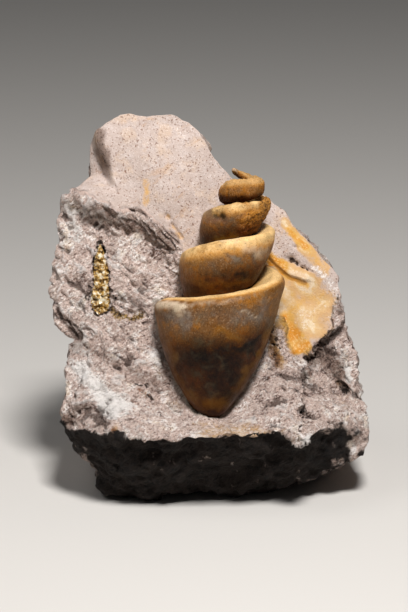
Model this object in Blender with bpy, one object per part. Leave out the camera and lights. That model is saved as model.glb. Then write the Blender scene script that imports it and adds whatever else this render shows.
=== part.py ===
# A fossil snail standing in its block of limestone: the spiral cast of the shell's inside,
# the matrix that it formed in, and the crystals that line a smaller shell's hollow.
import math

import bmesh
import bpy
import numpy as np

# All sizes are in millimetres and become metres when a mesh is made.
MM = 0.001

# The broken face leans back from the vertical. Its own axes are x to the right, up along the
# face, and out of the face towards the front.
FACE_LEAN = math.radians(16)
BLOCK_CENTRE = (-0.59, 5.6)       # plan position of the block's middle, which becomes the origin

# The outline of the face, clockwise from the left of the top, as (x, up).
OUTLINE = [
    (-38, 108), (-36, 115), (-31, 120), (-23, 120.5), (-12, 121.5), (-9, 119.5), (-3, 113), (1, 105),
    (8, 99), (19, 93), (25, 88.5), (29, 82), (42, 68), (42.5, 59), (47, 45), (49, 40), (48, 33),
    (51, 23), (51.5, 15), (49, 10.5), (41, 6), (28, 2), (24, -0.5), (-6, -2.5), (-20, -5),
    (-33, -2.5), (-39, 7.5), (-44.5, 16.5), (-48, 25), (-45.5, 33), (-46, 41), (-45, 47),
    (-50, 51), (-52, 58), (-52, 69), (-49.5, 85), (-48, 92.5), (-42, 98),
]
RING_CENTRE = (2, 58)             # the rings of the face spread from here, behind the cast

# The face is lofted through these lines, from the foot to the top: points (x, up, out).
FOOT_LINE = [(-48, 20, 23), (-39, 7, 20), (-33, -3, 16), (-20, -5.5, 15), (24, -1, 17), (41, 6, 18),
             (52, 12, 20)]
LEDGE_LINE = [(-49, 24.5, 24), (-43, 20.5, 29), (-33, 19, 36), (-25, 17.5, 39), (-14, 16, 41),
              (10, 18, 41), (21, 19, 40), (27, 15.5, 41), (34, 19, 34), (42, 22.5, 27), (52, 20, 18)]
SHELF_LINE = [(-48, 34.5, 21), (-38, 30.5, 25), (-28, 27.5, 28), (-19, 26, 29), (2, 24, 27),
              (12, 26, 27), (24, 29, 27), (34, 30, 25), (42, 30.5, 20), (52, 30.5, 15)]
LOW_LINE = [(-48, 44, 16), (-32, 43.5, 22), (-19, 44, 19), (24, 44, 16), (30, 42.5, 15), (37, 43, 11),
            (50, 44, 11)]
MIDDLE_LINE = [(-54, 60, 12), (-38, 60, 17), (-25, 60, 19), (5, 60, 15), (24, 60, 11), (33, 60, 9.5),
               (45, 60, 11.5)]
HIGH_LINE = [(-54, 79.5, 11), (-38, 79.5, 13.5), (-14, 77, 15.5), (-3, 77.5, 16), (10, 78, 13),
             (20, 78, 11), (32, 78, 11)]
UPPER_LINE = [(-52, 94, 12), (-35, 94, 15), (-22, 93.5, 17), (-3, 93.5, 16), (10, 94, 13), (21, 94, 11)]
TOP_LINE = [(-42, 116.5, 12), (-3, 116.5, 14)]
FACE_LINES = [FOOT_LINE, LEDGE_LINE, SHELF_LINE, LOW_LINE, MIDDLE_LINE, HIGH_LINE, UPPER_LINE, TOP_LINE]
CREASE_ROUNDING = 1.5             # the lofted face is averaged over this much each way

# The step below the smooth slab, and the dents as (points, radius, depth).
STEP_LINE = [(-47, 96), (-37, 92), (-21, 88), (-16, 83.5), (-11.5, 80.5), (-9.5, 73)]
STEP_DROP = 3.0
STEP_WIDTH = 3.5
STEP_REACH = 7.0                  # beyond the step the ground rises again over this
DENTS = [
    ([(-36, 114), (-32, 103)], 3.0, 3.0),
    ([(-31, 101), (-22, 91)], 6.0, 1.5),
    ([(-18, 52), (-14.5, 39), (-9, 29)], 3.5, 2.5),
    ([(24, 56), (27, 46)], 3.5, 2.5),
    ([(30, 39), (41, 28)], 4.5, 4.0),
]

# The block behind the face.
BACK_AT_FOOT = -41.5              # how far out the back is where the face meets the floor
BACK_RISE = 0.287                 # the back is upright, so it comes forward by this a millimetre up
BACK_SWELL = 4.0
BACK_TAPER = 0.13                 # the back is smaller than the face by this share
TAPER_FROM = (0, 30)              # but not at the foot: the share grows between these heights
WALL_BULGE = 2.0
BROKEN_EDGE = 2.0                 # the rim of the face is worn down by this
EDGE_SHARPNESS = 10               # the higher, the nearer the wear keeps to the rim
COLUMNS = 88
FACE_RINGS = 18
FACE_SPREAD = 0.8                 # below 1, the face's rings lie closer together towards its rim
WALL_RINGS = 8
BACK_RINGS = 8
LUMPS = [(26, 1.6), (12, 1.0)]    # size and height of the lumps of the broken surface

# The cast: a right-handed spiral of whorls, each like a cup that tapers downwards.
# Turns are counted from the body whorl's left side: 0.25 is the front, 0.5 the right.
FIRST_TURN = -0.25
LAST_TURN = 3.0
CAST_SIDES = 26
BODY_RADIUS = 22.0
RADIUS_RATIO = 0.72               # each turn's radius over that of the turn below
RIM_HEIGHTS = [(-0.25, 56), (0, 60.6), (0.25, 64), (0.45, 67.6), (1, 76), (1.25, 80.8), (1.45, 82.6),
               (2, 88.3), (2.22, 92), (2.45, 93.4), (3, 95.5)]   # (turn, height up the middle)
AXIS = [(22.6, 0.7, 26.5), (45, 3.3, 22.5), (62, 4.7, 21), (77, 6.7, 22), (88, 9, 23), (96, 10.5, 24),
        (104, 10.5, 24.5)]        # (up, x, out) along the middle of the spiral
WHORL_NOD = math.radians(7)       # the discs of the whorls dip to the front by this
FOOT_HEIGHT = 22.6
SHOULDER = 0.86                   # a whorl's highest point, as a share of its radius
RAMP_SLOPE = 0.35                 # its top slopes in towards the middle
LOWER_EDGE = 0.72                 # its lower edge, as a share of its radius
WALL = [(0.1, 0.79), (0.35, 0.9), (0.65, 0.99), (0.86, 0.985), (0.96, 0.94)]  # (share of height, of radius)
BOWL = [(0, 0), (0.03, 0.17), (0.11, 0.34), (0.24, 0.52), (0.42, 0.71), (0.6, 0.85), (0.78, 0.95),
        (0.96, 0.995)]            # the same for the body whorl, which tapers to its foot
CORE = 0.5                        # the whorls join inside this share of the lower edge
WHORL_GAP = 0.9
FOOT_BLEND = (0.58, 0.75)         # between these turns the body whorl's foot gives way to the next whorl
FADE = (2.6, 3.0)                 # and between these the top whorl shrinks into the strand
FADE_SHRINK = 0.88                # by this share of its radius
TIP_SHARE = 0.05                  # the last turn's top closes at this share of its radius
STRAND = [(2.55, 5.6, 89, 2.2), (2.8, 4.9, 92, 2.5), (3.0, 4.6, 94.4, 2.9), (3.25, 4.6, 95.4, 3.1),
          (3.5, 4.2, 96.2, 2.7), (3.62, 4.0, 97.4, 2.1), (3.75, 3.6, 99, 1.5), (3.95, 3.2, 101.3, 1.2)]
STRAND_COLUMNS = 24
STRAND_SIDES = 8
STRAND_HEIGHT = 1.15              # the strand's section is this much taller than it is wide
STRAND_TIP = (24, 0.9)            # how blunt its tip is, and how far the tip closes
SOCKET_CLEARANCE = 0.5
SOCKET_CORE = 0.9                 # the matrix reaches in between the whorls to this share
SOCKET_START = -0.26              # the socket starts a little before the first turn
PLUG_TOP = 57                     # up to here the socket is round behind the body whorl's open end
PLUG_SIDES = 20

# The hollow left by a smaller shell, as (x, up), and the crystals in it: (x, up, width, tilt, turn).
HOLLOW = [(-35.5, 78.5), (-37.2, 75), (-37.8, 70), (-37.5, 65), (-38.6, 61), (-38, 57), (-36, 55),
          (-32.5, 56.5), (-32, 60), (-32.5, 65), (-32.5, 70), (-33.8, 75)]
HOLLOW_DEPTH = 3.6
HOLLOW_MIDDLE = (-35.3, 65.7, 16.2)   # the mouth of the hollow, as (x, up, out)
HOLLOW_SLOPES = (0.147, -0.207)       # how fast its out rises with x and with up
CRUST_GAP = 0.35                  # the crystals stop this far from the matrix
CRUST_BASE = (0.6, 1.4)           # the crust's bed lies this far over the hollow's floor
CRYSTALS = [(-35.4, 76, 1.3, 20, 0), (-36.2, 72.6, 1.5, -25, 40), (-34.2, 71, 1.4, 30, 10),
            (-35.8, 68.6, 1.6, 10, 70), (-34.2, 66.6, 1.5, -30, 25), (-36.2, 65, 1.5, 25, 50),
            (-34.6, 62.8, 1.7, 15, 15), (-37, 61.2, 1.5, -15, 65), (-34.2, 59.4, 1.8, 35, 35),
            (-36.4, 58.2, 1.7, -20, 5), (-35.4, 56.3, 1.3, 30, 55)]
CRYSTAL_LENGTH = 1.5              # a crystal's half length, as a share of its width
CRYSTAL_ZIGZAG = 0.18             # its side corners go up and down by this share
CRYSTAL_RAISE = 0.2               # its middle stands over the bed by this share of its length


def clear_scene():
    for old in list(bpy.data.objects):
        bpy.data.objects.remove(old)


def face_to_block(points):
    # points on the face's axes as the block's own x, y and z
    x, up, out = np.moveaxis(np.asarray(points, float), -1, 0)
    y = up * math.sin(FACE_LEAN) - out * math.cos(FACE_LEAN)
    z = up * math.cos(FACE_LEAN) + out * math.sin(FACE_LEAN)
    return np.stack([x - BLOCK_CENTRE[0], y - BLOCK_CENTRE[1], z], -1)


def ease(value, low, high):
    # 0 below low, 1 above high, and smooth between
    share = np.clip((value - low) / (high - low), 0, 1)
    return share * share * (3 - 2 * share)


def smooth_through(knots, at):
    # a smooth curve through knots (position, value...), read at the given positions
    knots = np.array(knots, float)
    places = knots[:, 0]
    values = knots[:, 1:]
    slopes = np.gradient(values, places, axis=0)
    at = np.clip(at, places[0], places[-1])
    left = np.clip(np.searchsorted(places, at, "right") - 1, 0, len(places) - 2)
    span = places[left + 1] - places[left]
    share = ((at - places[left]) / span)[..., None]
    span = span[..., None]
    curve = values[left] * (1 + 2 * share) * (1 - share) ** 2
    curve = curve + slopes[left] * span * share * (1 - share) ** 2
    curve = curve + values[left + 1] * share ** 2 * (3 - 2 * share)
    return curve + slopes[left + 1] * span * share ** 2 * (share - 1)


def cell_value(cells, seed):
    # a repeatable value from 0 to 1 for each whole-number cell
    mixed = cells[..., 0] * 73856093 ^ cells[..., 1] * 19349663 ^ cells[..., 2] * 83492791 ^ seed * 9176131
    mixed = mixed & 0xFFFFFFFF
    mixed = (mixed ^ mixed >> 15) * 2246822519 & 0xFFFFFFFF
    mixed = (mixed ^ mixed >> 13) * 3266489917 & 0xFFFFFFFF
    return (mixed ^ mixed >> 16) / 0xFFFFFFFF


def noise(points, seed):
    # smooth noise from -1 to 1, with a new value at each whole-number corner
    corner = np.floor(points).astype(np.int64)
    share = points - corner
    share = share * share * (3 - 2 * share)
    total = np.zeros(points.shape[:-1])
    for step in np.ndindex(2, 2, 2):
        weight = np.prod(np.where(step, share, 1 - share), -1)
        total += weight * cell_value(corner + step, seed)
    return total * 2 - 1


def distance_to_line(x, up, line):
    # distance to a line of points, and which side of it: positive on the right going along
    nearest = np.full(np.shape(x), 1e9)
    side = np.zeros(np.shape(x))
    for (ax, ay), (bx, by) in zip(line, line[1:]):
        dx, dy = bx - ax, by - ay
        share = np.clip(((x - ax) * dx + (up - ay) * dy) / (dx * dx + dy * dy), 0, 1)
        gap = np.hypot(x - ax - share * dx, up - ay - share * dy)
        right = (x - ax) * dy - (up - ay) * dx
        side = np.where(gap < nearest, np.sign(right), side)
        nearest = np.minimum(gap, nearest)
    return nearest, side


def lofted_height(x, up):
    ups = []
    outs = []
    for line in FACE_LINES:
        xs, line_up, line_out = np.array(line, float).T
        ups.append(np.interp(x, xs, line_up))
        outs.append(np.interp(x, xs, line_out))
    height = outs[0]
    for low in range(len(FACE_LINES) - 1):
        share = np.clip((up - ups[low]) / (ups[low + 1] - ups[low]), 0, 1)
        height = np.where(up > ups[low], outs[low] + (outs[low + 1] - outs[low]) * share, height)
    return height


def face_height(x, up):
    # how far out the face is: the lofted sheet with its creases rounded, the step and the dents
    reach = CREASE_ROUNDING
    around = [(0, 0), (reach, 0), (-reach, 0), (0, reach), (0, -reach)]
    height = sum(lofted_height(x + dx, up + dy) for dx, dy in around) / len(around)
    gap, side = distance_to_line(x, up, STEP_LINE)
    height = height - STEP_DROP * (side > 0) * ease(gap, 0, STEP_WIDTH) * np.exp(-gap / STEP_REACH)
    for line, radius, depth in DENTS:
        gap, side = distance_to_line(x, up, line)
        height = height - depth * np.exp(-(gap / radius) ** 2)
    return height


def even_outline(count):
    # that many points along the outline, at even steps of its length
    corners = np.array(OUTLINE + OUTLINE[:1], float)
    lengths = np.concatenate([[0], np.cumsum(np.hypot(*np.diff(corners, axis=0).T))])
    steps = np.linspace(0, lengths[-1], count, endpoint=False)
    return np.stack([np.interp(steps, lengths, corners[:, k]) for k in (0, 1)], -1)


def matrix_rings():
    # rings of points from the middle of the face, over its rim and down the walls to the back
    rim = even_outline(COLUMNS)
    centre = np.array(RING_CENTRE, float)
    taper = BACK_TAPER * ease(rim[:, 1], *TAPER_FROM)[:, None]
    back_rim = centre + (rim - centre) * (1 - taper)
    outward = (rim - centre) / np.linalg.norm(rim - centre, axis=1)[:, None]
    rings = []
    for ring in range(1, FACE_RINGS + 1):
        share = (ring / FACE_RINGS) ** FACE_SPREAD
        at = centre + (rim - centre) * share
        out = face_height(at[:, 0], at[:, 1]) - BROKEN_EDGE * share ** EDGE_SHARPNESS
        rings.append(np.column_stack([at, out]))
    front = rings[-1]
    back = np.column_stack([back_rim, BACK_AT_FOOT + BACK_RISE * back_rim[:, 1]])
    for ring in range(1, WALL_RINGS + 1):
        share = ring / WALL_RINGS
        wall = front + (back - front) * share
        wall[:, :2] += outward * WALL_BULGE * math.sin(math.pi * share)
        rings.append(wall)
    for ring in range(1, BACK_RINGS + 1):
        share = 1 - ring / (BACK_RINGS + 1)
        at = centre + (back_rim - centre) * share
        out = BACK_AT_FOOT + BACK_RISE * at[:, 1] - BACK_SWELL * (1 - share ** 2)
        rings.append(np.column_stack([at, out]))
    return face_to_block(rings)


def broken_surface(rings):
    # lumps pushed in and out along the surface's own direction
    across = np.roll(rings, -1, 1) - np.roll(rings, 1, 1)
    along = np.gradient(rings, axis=0)
    normals = np.cross(across, along)
    normals /= np.linalg.norm(normals, axis=-1)[..., None]
    place = rings + (*BLOCK_CENTRE, 0)
    depth = sum(height * noise(place / size, seed) for seed, (size, height) in enumerate(LUMPS))
    return rings + normals * depth[..., None]


def ring_faces(rows, columns):
    # quads between rings of points, numbered ring by ring
    here = np.arange(rows * columns).reshape(rows, columns)
    beside = np.roll(here, -1, 1)
    quads = np.stack([here[:-1], beside[:-1], beside[1:], here[1:]], -1)
    return quads.reshape(-1, 4).tolist()


def mesh_object(name, points, faces, material):
    mesh = bpy.data.meshes.new(name)
    mesh.from_pydata([tuple(point) for point in np.asarray(points) * MM], [], faces)
    shape = bmesh.new()
    shape.from_mesh(mesh)
    bmesh.ops.recalc_face_normals(shape, faces=shape.faces)
    shape.to_mesh(mesh)
    shape.free()
    mesh.materials.append(material)
    made = bpy.data.objects.new(name, mesh)
    bpy.context.scene.collection.objects.link(made)
    return made


def cut_flat(made):
    # keeps what is above the floor and closes the cut
    shape = bmesh.new()
    shape.from_mesh(made.data)
    everything = shape.verts[:] + shape.edges[:] + shape.faces[:]
    cut = bmesh.ops.bisect_plane(shape, geom=everything, plane_co=(0, 0, 0), plane_no=(0, 0, 1),
                                 clear_inner=True)
    rim = [part for part in cut["geom_cut"] if isinstance(part, bmesh.types.BMEdge)]
    bmesh.ops.contextual_create(shape, geom=rim)
    bmesh.ops.recalc_face_normals(shape, faces=shape.faces)
    shape.to_mesh(made.data)
    shape.free()


def bounded_by(made, operation, other):
    # a Boolean with another object, which stays as a hidden helper
    other.hide_render = True
    other.display_type = "WIRE"
    step = made.modifiers.new(other.name, "BOOLEAN")
    step.operation = operation
    step.object = other


def make_matrix(material):
    rings = broken_surface(matrix_rings())
    rows, columns = rings.shape[:2]
    points = rings.reshape(-1, 3)
    faces = ring_faces(rows, columns)
    last = (rows - 1) * columns
    poles = [rings[0].mean(0), rings[-1].mean(0)]
    for column in range(columns):
        beside = (column + 1) % columns
        faces.append((rows * columns, beside, column))
        faces.append((rows * columns + 1, last + column, last + beside))
    made = mesh_object("limestone_matrix", np.vstack([points, poles]), faces, material)
    cut_flat(made)
    return made


def whorl_radius(turn):
    shrink = 1 - FADE_SHRINK * ease(turn, *FADE)
    return BODY_RADIUS * RADIUS_RATIO ** turn * shrink


def rim_height(turn):
    return smooth_through(RIM_HEIGHTS, turn)[..., 0]


def ramp_height(turn, radius):
    # the whorl's top, which slopes in from its shoulder
    inside = np.maximum(SHOULDER * whorl_radius(turn) - radius, 0)
    return rim_height(turn) - RAMP_SLOPE * inside


def spiral_points(turn, radius, height):
    # points at these turns, distances from the spiral's middle and heights along it
    middle = smooth_through(AXIS, height)
    angle = 2 * math.pi * turn
    side = -radius * np.cos(angle)
    front = radius * np.sin(angle)
    x = middle[..., 0] + side
    up = height - front * math.sin(WHORL_NOD)
    out = middle[..., 1] + front * math.cos(WHORL_NOD)
    return face_to_block(np.stack([x, up, out], -1))


def whorl_section(turn, grow, core_share):
    # from the core out under the whorl, up its wall, over its shoulder and in along its top
    radius = whorl_radius(turn)
    rim = rim_height(turn)
    below = np.maximum(turn - 1, FIRST_TURN)
    edge = LOWER_EDGE * radius
    core = core_share * edge
    lift = grow * (1 + RAMP_SLOPE)
    rim = rim + lift
    gap = max(WHORL_GAP - 2 * grow, 0.1)
    section = [(core, ramp_height(below, core) + lift + gap / 2),
               ((core + edge) / 2, ramp_height(below, (core + edge) / 2) + lift + gap),
               (edge, ramp_height(below, edge) + lift + gap)]
    low = section[-1][1]
    section += [(radius * width, low + (rim - low) * share) for share, width in WALL]
    top = [(radius * SHOULDER, rim), (edge, ramp_height(turn, edge) + lift)]
    foot = FOOT_HEIGHT - grow
    bowl = [(radius * width, foot + (rim - foot) * share) for share, width in BOWL]
    blend = ease(turn, *FOOT_BLEND)
    mixed = np.array(bowl + top) * (1 - blend) + np.array(section + top) * blend
    return mixed[:, 0] + grow, mixed[:, 1]


def spiral_body(name, first_turn, grow, core_share, material):
    turns = np.arange(first_turn, LAST_TURN + 0.5 / CAST_SIDES, 1 / CAST_SIDES)
    columns = []
    for turn in turns:
        radius, height = whorl_section(turn, grow, core_share)
        columns.append(spiral_points(np.full(len(radius), turn), radius, height))
    grid = np.array(columns)
    count, rows = grid.shape[:2]
    index = np.arange(count * rows).reshape(count, rows)
    points = list(grid.reshape(-1, 3))
    faces = []
    middle = []
    for column in range(count):
        if column + CAST_SIDES < count:
            middle.append(index[column + CAST_SIDES, 0])
        else:
            turn = turns[column]
            points.append(spiral_points(turn, TIP_SHARE * whorl_radius(turn), ramp_height(turn, 0)))
            middle.append(len(points) - 1)
    for column in range(count - 1):
        for row in range(rows - 1):
            faces.append((index[column, row], index[column + 1, row],
                          index[column + 1, row + 1], index[column, row + 1]))
        faces.append((index[column, -1], index[column + 1, -1], middle[column + 1], middle[column]))
    start = [index[column, 0] for column in range(CAST_SIDES + 1)]
    faces.append(start + list(index[0, ::-1][:-1]))
    faces.append(middle[-CAST_SIDES - 1:][::-1] + list(index[-1][1:]))
    return mesh_object(name, points, faces, material)


def make_strand(material):
    # the thin last turn, a tube that rises round the middle to a blunt tip
    turns = np.linspace(STRAND[0][0], STRAND[-1][0], STRAND_COLUMNS)
    distance, height, thickness = smooth_through(STRAND, turns).T
    bluntness, closing = STRAND_TIP
    thickness = thickness * np.sqrt(1 - closing * np.linspace(0, 1, STRAND_COLUMNS) ** bluntness)
    around = np.linspace(0, 2 * math.pi, STRAND_SIDES, endpoint=False)
    radius = distance[:, None] + thickness[:, None] * np.cos(around)
    level = height[:, None] + thickness[:, None] * STRAND_HEIGHT * np.sin(around)
    rings = spiral_points(turns[:, None], radius, level)
    faces = ring_faces(STRAND_COLUMNS, STRAND_SIDES)
    last = (STRAND_COLUMNS - 1) * STRAND_SIDES
    faces.append(list(range(STRAND_SIDES)))
    faces.append(list(range(last, last + STRAND_SIDES)))
    return mesh_object("strand", rings.reshape(-1, 3), faces, material)


def make_cast(material):
    made = spiral_body("snail_cast", FIRST_TURN, 0, CORE, material)
    bounded_by(made, "UNION", make_strand(material))
    return made


def make_plug(material):
    # a round bowl that takes the matrix out of the notch behind the body whorl's open end
    turns = np.linspace(0, 1, PLUG_SIDES, endpoint=False)
    shares, widths = np.array(BOWL, float).T[:, :, None]
    radius = widths * whorl_radius(FOOT_BLEND[1]) + SOCKET_CLEARANCE
    height = FOOT_HEIGHT - SOCKET_CLEARANCE + (PLUG_TOP - FOOT_HEIGHT) * shares
    rings = spiral_points(turns, radius + 0 * turns, height + 0 * turns)
    faces = ring_faces(len(BOWL), PLUG_SIDES)
    last = (len(BOWL) - 1) * PLUG_SIDES
    faces.append(list(range(PLUG_SIDES)))
    faces.append(list(range(last, last + PLUG_SIDES)))
    return mesh_object("plug", rings.reshape(-1, 3), faces, material)


def hollow_floor(x, up):
    # the flat floor lies level with the face around the hollow, and HOLLOW_DEPTH below it
    across, along, mouth = HOLLOW_MIDDLE
    return mouth - HOLLOW_DEPTH + HOLLOW_SLOPES[0] * (x - across) + HOLLOW_SLOPES[1] * (up - along)


def prism(name, outline, inset, low, high, material):
    # a block of the hollow's outline, from low to high over the hollow's floor
    outline = np.array(outline, float)
    middle = (outline.max(0) + outline.min(0)) / 2
    half = (outline.max(0) - outline.min(0)) / 2
    outline = middle + (outline - middle) * (1 - inset / half)
    floor = hollow_floor(outline[:, 0], outline[:, 1])
    rings = [np.column_stack([outline, floor + level]) for level in (low, high)]
    count = len(outline)
    faces = ring_faces(2, count) + [list(range(count)), list(range(count, 2 * count))]
    return mesh_object(name, face_to_block(rings).reshape(-1, 3), faces, material)


def make_crystal(name, x, up, width, tilt, twist, material):
    # six flat faces rising to each of two points
    length = CRYSTAL_LENGTH * width
    middle = hollow_floor(x, up) + CRUST_BASE[1] + CRYSTAL_RAISE * length
    lean = math.radians(tilt)
    corners = [(0, 0, length), (0, 0, -length)]
    for side in range(6):
        angle = math.radians(twist + 60 * side)
        corners.append((width * math.cos(angle), width * math.sin(angle), CRYSTAL_ZIGZAG * width * (-1) ** side))
    turned = [(x + a * math.cos(lean) + c * math.sin(lean), up + b,
               middle + c * math.cos(lean) - a * math.sin(lean)) for a, b, c in corners]
    faces = []
    for side in range(6):
        here, beside = 2 + side, 2 + (side + 1) % 6
        faces += [(0, here, beside), (1, beside, here)]
    return mesh_object(name, face_to_block(turned), faces, material)


def make_crust(material):
    made = prism("calcite_crust", HOLLOW, 2 * CRUST_GAP, *CRUST_BASE, material)
    for number, crystal in enumerate(CRYSTALS):
        bounded_by(made, "UNION", make_crystal(f"crystal_{number}", *crystal, material))
    room = prism("crust_room", HOLLOW, 1.5 * CRUST_GAP, CRUST_GAP, 2 * HOLLOW_DEPTH, material)
    bounded_by(made, "INTERSECT", room)
    return made


def simple_material(name, colour, roughness):
    made = bpy.data.materials.new(name)
    made.use_nodes = True
    shader = made.node_tree.nodes["Principled BSDF"]
    shader.inputs["Base Color"].default_value = (*colour, 1)
    shader.inputs["Roughness"].default_value = roughness
    return made


clear_scene()
limestone = simple_material("limestone", (0.62, 0.54, 0.48), 0.85)
ironstone = simple_material("iron_stained_cast", (0.42, 0.25, 0.10), 0.5)
calcite = simple_material("calcite", (0.45, 0.30, 0.12), 0.25)
matrix = make_matrix(limestone)
cast = make_cast(ironstone)
crust = make_crust(calcite)
socket = spiral_body("socket", SOCKET_START, SOCKET_CLEARANCE, SOCKET_CORE, limestone)
bounded_by(matrix, "DIFFERENCE", socket)
bounded_by(matrix, "DIFFERENCE", make_plug(limestone))
bounded_by(matrix, "DIFFERENCE", prism("hollow", HOLLOW, 0, 0, 3 * HOLLOW_DEPTH, limestone))
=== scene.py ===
# A fossil snail in its block of limestone: the broken stone, the cast of the shell's inside and
# the crystals in the hollow beside it. Sizes are in millimetres and become metres in meshFrom.
import math

import bmesh
import bpy
import numpy as np
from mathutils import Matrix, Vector


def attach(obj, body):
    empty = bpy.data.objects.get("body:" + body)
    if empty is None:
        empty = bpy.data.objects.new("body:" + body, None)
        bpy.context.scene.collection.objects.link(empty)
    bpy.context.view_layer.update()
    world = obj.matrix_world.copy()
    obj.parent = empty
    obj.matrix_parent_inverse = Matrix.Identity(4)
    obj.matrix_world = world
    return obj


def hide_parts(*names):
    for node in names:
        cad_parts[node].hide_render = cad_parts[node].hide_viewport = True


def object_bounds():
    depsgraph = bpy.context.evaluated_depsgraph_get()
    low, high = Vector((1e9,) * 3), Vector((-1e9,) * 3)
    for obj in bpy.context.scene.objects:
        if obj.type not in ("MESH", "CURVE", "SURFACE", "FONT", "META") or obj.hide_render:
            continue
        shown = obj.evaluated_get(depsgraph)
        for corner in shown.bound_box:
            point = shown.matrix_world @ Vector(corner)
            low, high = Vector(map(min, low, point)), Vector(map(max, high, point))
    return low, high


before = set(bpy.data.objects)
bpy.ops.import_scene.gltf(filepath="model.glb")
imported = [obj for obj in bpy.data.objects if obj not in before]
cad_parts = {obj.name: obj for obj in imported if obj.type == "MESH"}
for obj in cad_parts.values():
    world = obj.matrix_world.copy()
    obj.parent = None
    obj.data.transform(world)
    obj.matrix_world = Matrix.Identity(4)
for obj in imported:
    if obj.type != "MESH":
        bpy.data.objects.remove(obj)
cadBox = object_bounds()
mm = 0.001
tiny = 1e-9                                   # keeps a division from being by zero
far = 99.0                                    # further than anything here reaches

# the broken face leans back, and has its own axes: x, up along it, and out of it
lean = math.radians(16)
blockCentre = (-0.59, 5.6)


def faceToBlock(points):
    # x stays; y and z are up and out turned back by the lean
    x, up, out = np.moveaxis(np.asarray(points, float), -1, 0)
    y = up * math.sin(lean) - out * math.cos(lean)
    z = up * math.cos(lean) + out * math.sin(lean)
    return np.stack([x - blockCentre[0], y - blockCentre[1], z], -1)


def ease(value, low, high):
    # 0 at low, 1 at high and held beyond them: 3 share^2 - 2 share^3 of the way between
    share = np.clip((value - low) / (high - low), 0, 1)
    return share * share * (3 - 2 * share)


def smoothThrough(knots, at):
    # a cubic from each knot (position, values...) to the next, with the slope at a knot that of
    # its neighbours
    knots = np.array(knots, float)
    places, values = knots[:, 0], knots[:, 1:]
    slopes = np.gradient(values, places, axis=0)
    at = np.clip(at, places[0], places[-1])
    left = np.clip(np.searchsorted(places, at, "right") - 1, 0, len(places) - 2)
    span = places[left + 1] - places[left]
    share = ((at - places[left]) / span)[..., None]
    span = span[..., None]
    curve = values[left] + (values[left + 1] - values[left]) * share ** 2 * (3 - 2 * share)
    bend = slopes[left] * (1 - share) - slopes[left + 1] * share
    return curve + span * share * (1 - share) * bend


def cellValue(cells, seed):
    # a repeatable value from 0 to 1 for each whole-number cell: its three numbers are multiplied
    # by large odd ones, mixed bit by bit with the seed, and stirred twice within 32 bits
    word = 0xFFFFFFFF
    mixed = cells[..., 0] * 73856093 ^ cells[..., 1] * 19349663 ^ cells[..., 2] * 83492791
    mixed = (mixed ^ seed * 9176131) & word
    mixed = (mixed ^ mixed >> 15) * 2246822519 & word
    mixed = (mixed ^ mixed >> 13) * 3266489917 & word
    return (mixed ^ mixed >> 16) / word


def noise(points, seed):
    # smooth noise from -1 to 1: a new value at each whole-number corner, eased between them
    corner = np.floor(points).astype(np.int64)
    share = points - corner
    share = share * share * (3 - 2 * share)
    total = np.zeros(points.shape[:-1])
    for step in np.ndindex(2, 2, 2):
        weight = np.prod(np.where(step, share, 1 - share), -1)
        total += weight * cellValue(corner + step, seed)
    return total * 2 - 1


def chips(points, seed, crispness=26, tilting=1.6):
    # chipped stone: each cell is a plane with its own tilt and level, and the planes meet in
    # narrow creases because every plane is weighed by exp(-crispness * distance squared)
    corner = np.floor(points).astype(np.int64)
    total = np.zeros(points.shape[:-1])
    weights = np.full(points.shape[:-1], tiny)
    for step in np.ndindex(3, 3, 3):
        cell = corner + step - 1
        away = points - cell - np.stack([cellValue(cell, seed + k) for k in range(3)], -1)
        tilt = np.stack([cellValue(cell, seed + 3 + k) for k in range(3)], -1) - 0.5
        level = tilting * (away * tilt).sum(-1) + cellValue(cell, seed + 6) - 0.5
        weight = np.exp(-crispness * (away ** 2).sum(-1))
        total += weight * level
        weights += weight
    return total / weights


def layered(points, layers, shift=0, kind=noise, step=1):
    # several sizes added up, height * kind(points / size) for each (size, height); the layers
    # begin with a seed of their own, which counts up from one size to the next
    seed, *sizes = layers
    return sum(height * kind(points / size, seed + shift + step * k)
               for k, (size, height) in enumerate(sizes))


def steppedDown(value, step, flat=0.7):
    # what turns a smooth swell into flakes: each step is flat for that share of it, then falls
    share = value / step - np.floor(value / step)
    return step * (ease(share, flat, 1) - share)


def lineGap(x, up, line):
    # distance to a line of points, and its side: positive on the right going along it
    nearest = np.full(np.shape(x), 1e9)
    side = np.zeros(np.shape(x))
    for (ax, ay), (bx, by) in zip(line, line[1:]):
        dx, dy = bx - ax, by - ay
        share = np.clip(((x - ax) * dx + (up - ay) * dy) / (dx * dx + dy * dy), 0, 1)
        gap = np.hypot(x - ax - share * dx, up - ay - share * dy)
        side = np.where(gap < nearest, np.sign((x - ax) * dy - (up - ay) * dx), side)
        nearest = np.minimum(gap, nearest)
    return nearest, side


def insideGap(x, up, outline):
    # distance to a closed outline, positive inside and negative outside
    inside = np.zeros(np.shape(x), bool)
    closed = list(outline) + [outline[0]]
    for (ax, ay), (bx, by) in zip(closed, closed[1:]):
        crosses = (ay > up) != (by > up)
        inside ^= crosses & (x < ax + (up - ay) * (bx - ax) / (by - ay + tiny))
    return lineGap(x, up, closed)[0] * np.where(inside, 1, -1)


def evenSteps(outline, count):
    # points at equal distances round a closed outline, straight between its corners
    corners = np.array(list(outline) + [outline[0]], float)
    lengths = np.concatenate([[0], np.cumsum(np.hypot(*np.diff(corners, axis=0).T))])
    steps = np.linspace(0, lengths[-1], count, endpoint=False)
    return np.stack([np.interp(steps, lengths, corners[:, k]) for k in (0, 1)], -1)


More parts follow.
